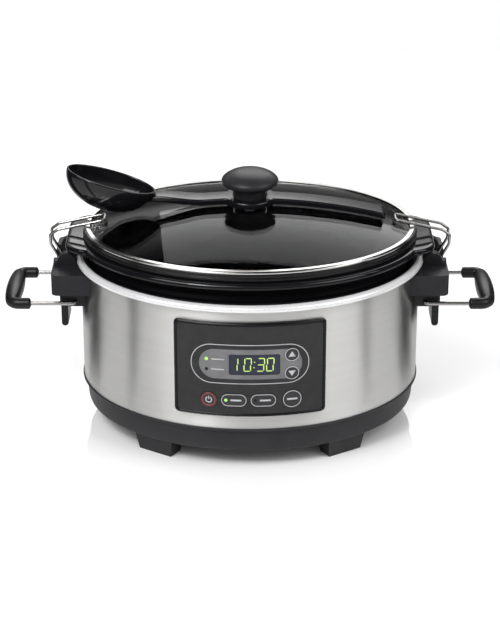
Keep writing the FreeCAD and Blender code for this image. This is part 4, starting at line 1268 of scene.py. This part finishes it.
    def _power_sign(self) -> None:
        """The power sign: an open ring of one line's width and an upright bar through its gap."""
        x, z = self.keys["key_power"]
        turn = np.linspace(0.66 * np.pi, 2.34 * np.pi, 40)[:, None]
        reach = np.array([2.9, 1.9, 1.9, 2.9])[None]
        depth = np.array([0.1, 0.1, 0, 0])[None] + self.key_face
        grid = self.on_face(x + reach * np.cos(turn), z + reach * np.sin(turn), depth)
        ends = grid.mean(1, keepdims=True)
        grid = np.concatenate([np.repeat(ends[:1], 4, 1), grid, np.repeat(ends[-1:], 4, 1)], 0)
        ring = grid_piece("sign_power_ring", grid, False, True, weighted=False)
        self._show(ring, self.palette.print_white, "key_power", "key_black")
        bar = self._patch("sign_power_bar", rounded_box(0.45, 1.6, 0.25, 3), (x, z + 1.7), self.key_face, 0.1)
        self._show(bar, self.palette.print_white, "key_power", "key_black")


# ---------------------------------------------------------------- studio


@dataclass
class Studio:
    """The pale floor, the soft lights and the camera."""

    distance: float = 1.7229
    elevation: float = math.radians(23.18)
    target_height: float = 0.120
    lens: float = 114.2
    shift: float = -0.05
    soft_light: float = 0.62
    wall_side: float = 0.05
    wall_behind: float = 0.85
    wall_front: float = 0.5
    ceiling: float = 0.08
    skirting: float = 0.12
    floor_reach: float = 1.1
    flag_out: float = 0.238
    flag_tall: float = 0.32
    flag_spans: tuple[tuple[float, float], ...] = ((-0.014, 0.058), (-0.141, -0.115))

    def build(self) -> None:
        """Sets the stage, the lights and the camera."""
        self._floor()
        self._sky()
        self._flags()
        self._light("key_light", (-0.9, -1.1, 1.7), 26, 1.3)
        self._light("fill_light", (1.3, -0.7, 1.3), 14, 1.2)
        self._light("back_light", (0.2, 1.5, 1.5), 16, 1.4)
        self._light("spark_light", (-0.55, -0.9, 1.15), 5, 0.22)
        self._camera()

    def _floor(self) -> None:
        """A white, slightly glossy floor that ends in the white round it."""
        mesh = bpy.data.meshes.new("studio_floor")
        reach = self.floor_reach
        mesh.from_pydata(
            [(-reach, -reach, 0), (reach, -reach, 0), (reach, reach, 0), (-reach, reach, 0)],
            [],
            [(0, 1, 2, 3)],
        )
        floor = bpy.data.objects.new("studio_floor", mesh)
        bpy.context.scene.collection.objects.link(floor)
        white = Finish("studio_white", (0.9, 0.9, 0.9), 0.07, 0.0, 3.0, 0.0, 0.004, 0.01, specular=1.0)
        mesh.materials.append(white.build())

    def _flags(self) -> None:
        """Dark cards beside the cooker, seen only in its gloss and only from their inner faces."""
        dark = bpy.data.materials.new("studio_dark")
        dark.use_nodes = True
        tree = dark.node_tree
        tree.nodes["Principled BSDF"].inputs["Base Color"].default_value = (0.02, 0.02, 0.02, 1)
        clear = tree.nodes.new("ShaderNodeBsdfTransparent")
        face = tree.nodes.new("ShaderNodeNewGeometry")
        mix = tree.nodes.new("ShaderNodeMixShader")
        tree.links.new(face.outputs["Backfacing"], mix.inputs["Fac"])
        tree.links.new(tree.nodes["Principled BSDF"].outputs["BSDF"], mix.inputs[1])
        tree.links.new(clear.outputs["BSDF"], mix.inputs[2])
        tree.links.new(mix.outputs["Shader"], tree.nodes["Material Output"].inputs["Surface"])
        for side in Side:
            for step, (near, far) in enumerate(self.flag_spans):
                x = side.value * self.flag_out
                corners = [(x, near, 0), (x, near, self.flag_tall), (x, far, self.flag_tall), (x, far, 0)]
                mesh = bpy.data.meshes.new(f"studio_flag_{side.word}_{step}")
                mesh.from_pydata(corners[:: side.value], [], [(0, 1, 2, 3)])
                mesh.materials.append(dark)
                flag = bpy.data.objects.new(mesh.name, mesh)
                bpy.context.scene.collection.objects.link(flag)
                for ray in ("camera", "diffuse", "shadow", "transmission"):
                    setattr(flag, "visible_" + ray, False)

    def _sky(self) -> None:
        """White all round for the eye and for soft light, and a studio of white and dark walls for gloss.

        A gloss ray sees a wall whose brightness rises smoothly with its share of +Y (behind) or -Y (in
        front), and fades towards the ceiling and the floor with its share of +Z.
        """
        world = bpy.data.worlds.new("studio_sky")
        world.use_nodes = True
        tree = world.node_tree
        place = tree.nodes.new("ShaderNodeTexCoord")
        split = tree.nodes.new("ShaderNodeSeparateXYZ")
        tree.links.new(place.outputs["Generated"], split.inputs["Vector"])
        behind = self._ease(tree, split.outputs["Y"], 0.35, 0.9, self.wall_side, self.wall_behind)
        front = self._ease(tree, split.outputs["Y"], -0.3, -0.85, 0.0, self.wall_front)
        ceiling = self._ease(tree, split.outputs["Z"], 0.6, 0.85, 1.0, self.ceiling)
        skirting = self._ease(tree, split.outputs["Z"], 0.2, 0.36, self.skirting, 1.0)
        walls = self._sum(tree, "MULTIPLY", self._sum(tree, "ADD", behind, front), ceiling)
        walls = self._sum(tree, "MULTIPLY", walls, skirting)
        ray = tree.nodes.new("ShaderNodeLightPath")
        gloss = self._ease(tree, ray.outputs["Glossy Depth"], 0.0, 1.0, 0.0, 1.0)
        plain = self._ease(tree, ray.outputs["Glossy Depth"], 0.0, 1.0, 1.0, 0.0)
        through = self._sum(tree, "MULTIPLY", ray.outputs["Is Transmission Ray"], plain)
        seen = self._sum(tree, "MAXIMUM", ray.outputs["Is Camera Ray"], through)
        soft = self._blend(tree, gloss, self.soft_light, walls)
        tree.links.new(self._blend(tree, seen, soft, 1.0), tree.nodes["Background"].inputs["Strength"])
        tree.nodes["Background"].inputs["Color"].default_value = (1, 1, 1, 1)
        bpy.context.scene.world = world

    @staticmethod
    def _ease(
        tree: bpy.types.NodeTree,
        value: bpy.types.NodeSocket,
        start: float,
        end: float,
        low: float,
        high: float,
    ) -> bpy.types.NodeSocket:
        """The value carried smoothly from low at start to high at end.

        Args:
            tree: the world's node tree.
            value: the value to carry.
            start: the value that gives low.
            end: the value that gives high.
            low: the result at start.
            high: the result at end.

        Returns:
            The result's socket.
        """
        ease = tree.nodes.new("ShaderNodeMapRange")
        ease.interpolation_type = "SMOOTHSTEP"
        for name, number in (("From Min", start), ("From Max", end), ("To Min", low), ("To Max", high)):
            ease.inputs[name].default_value = number
        tree.links.new(value, ease.inputs["Value"])
        return ease.outputs["Result"]

    @staticmethod
    def _sum(
        tree: bpy.types.NodeTree, kind: str, first: bpy.types.NodeSocket, second: bpy.types.NodeSocket
    ) -> bpy.types.NodeSocket:
        """Two values put together by a Math node.

        Args:
            tree: the world's node tree.
            kind: the Math node's operation.
            first: the first value.
            second: the second value.

        Returns:
            The result's socket.
        """
        node = tree.nodes.new("ShaderNodeMath")
        node.operation = kind
        tree.links.new(first, node.inputs[0])
        tree.links.new(second, node.inputs[1])
        return node.outputs["Value"]

    @staticmethod
    def _blend(
        tree: bpy.types.NodeTree,
        share: bpy.types.NodeSocket,
        first: bpy.types.NodeSocket | float,
        second: bpy.types.NodeSocket | float,
    ) -> bpy.types.NodeSocket:
        """The first value where the share is nought, and the second where it is one.

        Args:
            tree: the world's node tree.
            share: how much of the second there is.
            first: a value or a socket.
            second: a value or a socket.

        Returns:
            The result's socket.
        """
        mix = tree.nodes.new("ShaderNodeMix")
        tree.links.new(share, mix.inputs["Factor"])
        for name, value in (("A", first), ("B", second)):
            if isinstance(value, float):
                mix.inputs[name].default_value = value
            else:
                tree.links.new(value, mix.inputs[name])
        return mix.outputs["Result"]

    def _light(self, name: str, place: tuple[float, float, float], power: float, size: float) -> None:
        """A square soft light that looks at the cooker.

        Args:
            name: the light's name.
            place: where it stands, in metres.
            power: its power in watts.
            size: its side in metres.
        """
        data = bpy.data.lights.new(name, "AREA")
        data.energy = power
        data.size = size
        light = bpy.data.objects.new(name, data)
        light.location = place
        direction = np.array((0, 0, self.target_height)) - np.array(place)
        light.rotation_mode = "QUATERNION"
        light.rotation_quaternion = Vector(direction.tolist()).to_track_quat("-Z", "Y")
        bpy.context.scene.collection.objects.link(light)

    def _camera(self) -> None:
        """The camera in front, looking a little down."""
        data = bpy.data.cameras.new("front_camera")
        data.lens = self.lens
        data.sensor_width = 36.0
        data.shift_y = self.shift
        camera = bpy.data.objects.new("front_camera", data)
        camera.location = (
            0,
            -self.distance * math.cos(self.elevation),
            self.target_height + self.distance * math.sin(self.elevation),
        )
        camera.rotation_euler = (math.pi / 2 - self.elevation, 0, 0)
        bpy.context.scene.collection.objects.link(camera)
        bpy.context.scene.camera = camera
        bpy.context.scene.view_settings.view_transform = "Standard"


def main() -> None:
    """Builds the cooker piece by piece."""
    logging.basicConfig(level=logging.INFO)
    palette = Palette()
    lid = Lid(palette)
    Studio().build()
    for assembly in (Casing(palette), Crock(palette), lid, Dipper(palette, lid), ControlPanel(palette)):
        assembly.build()
    for side in Side:
        SideGear(palette, side).build()


if __name__ == "__main__":
    main()
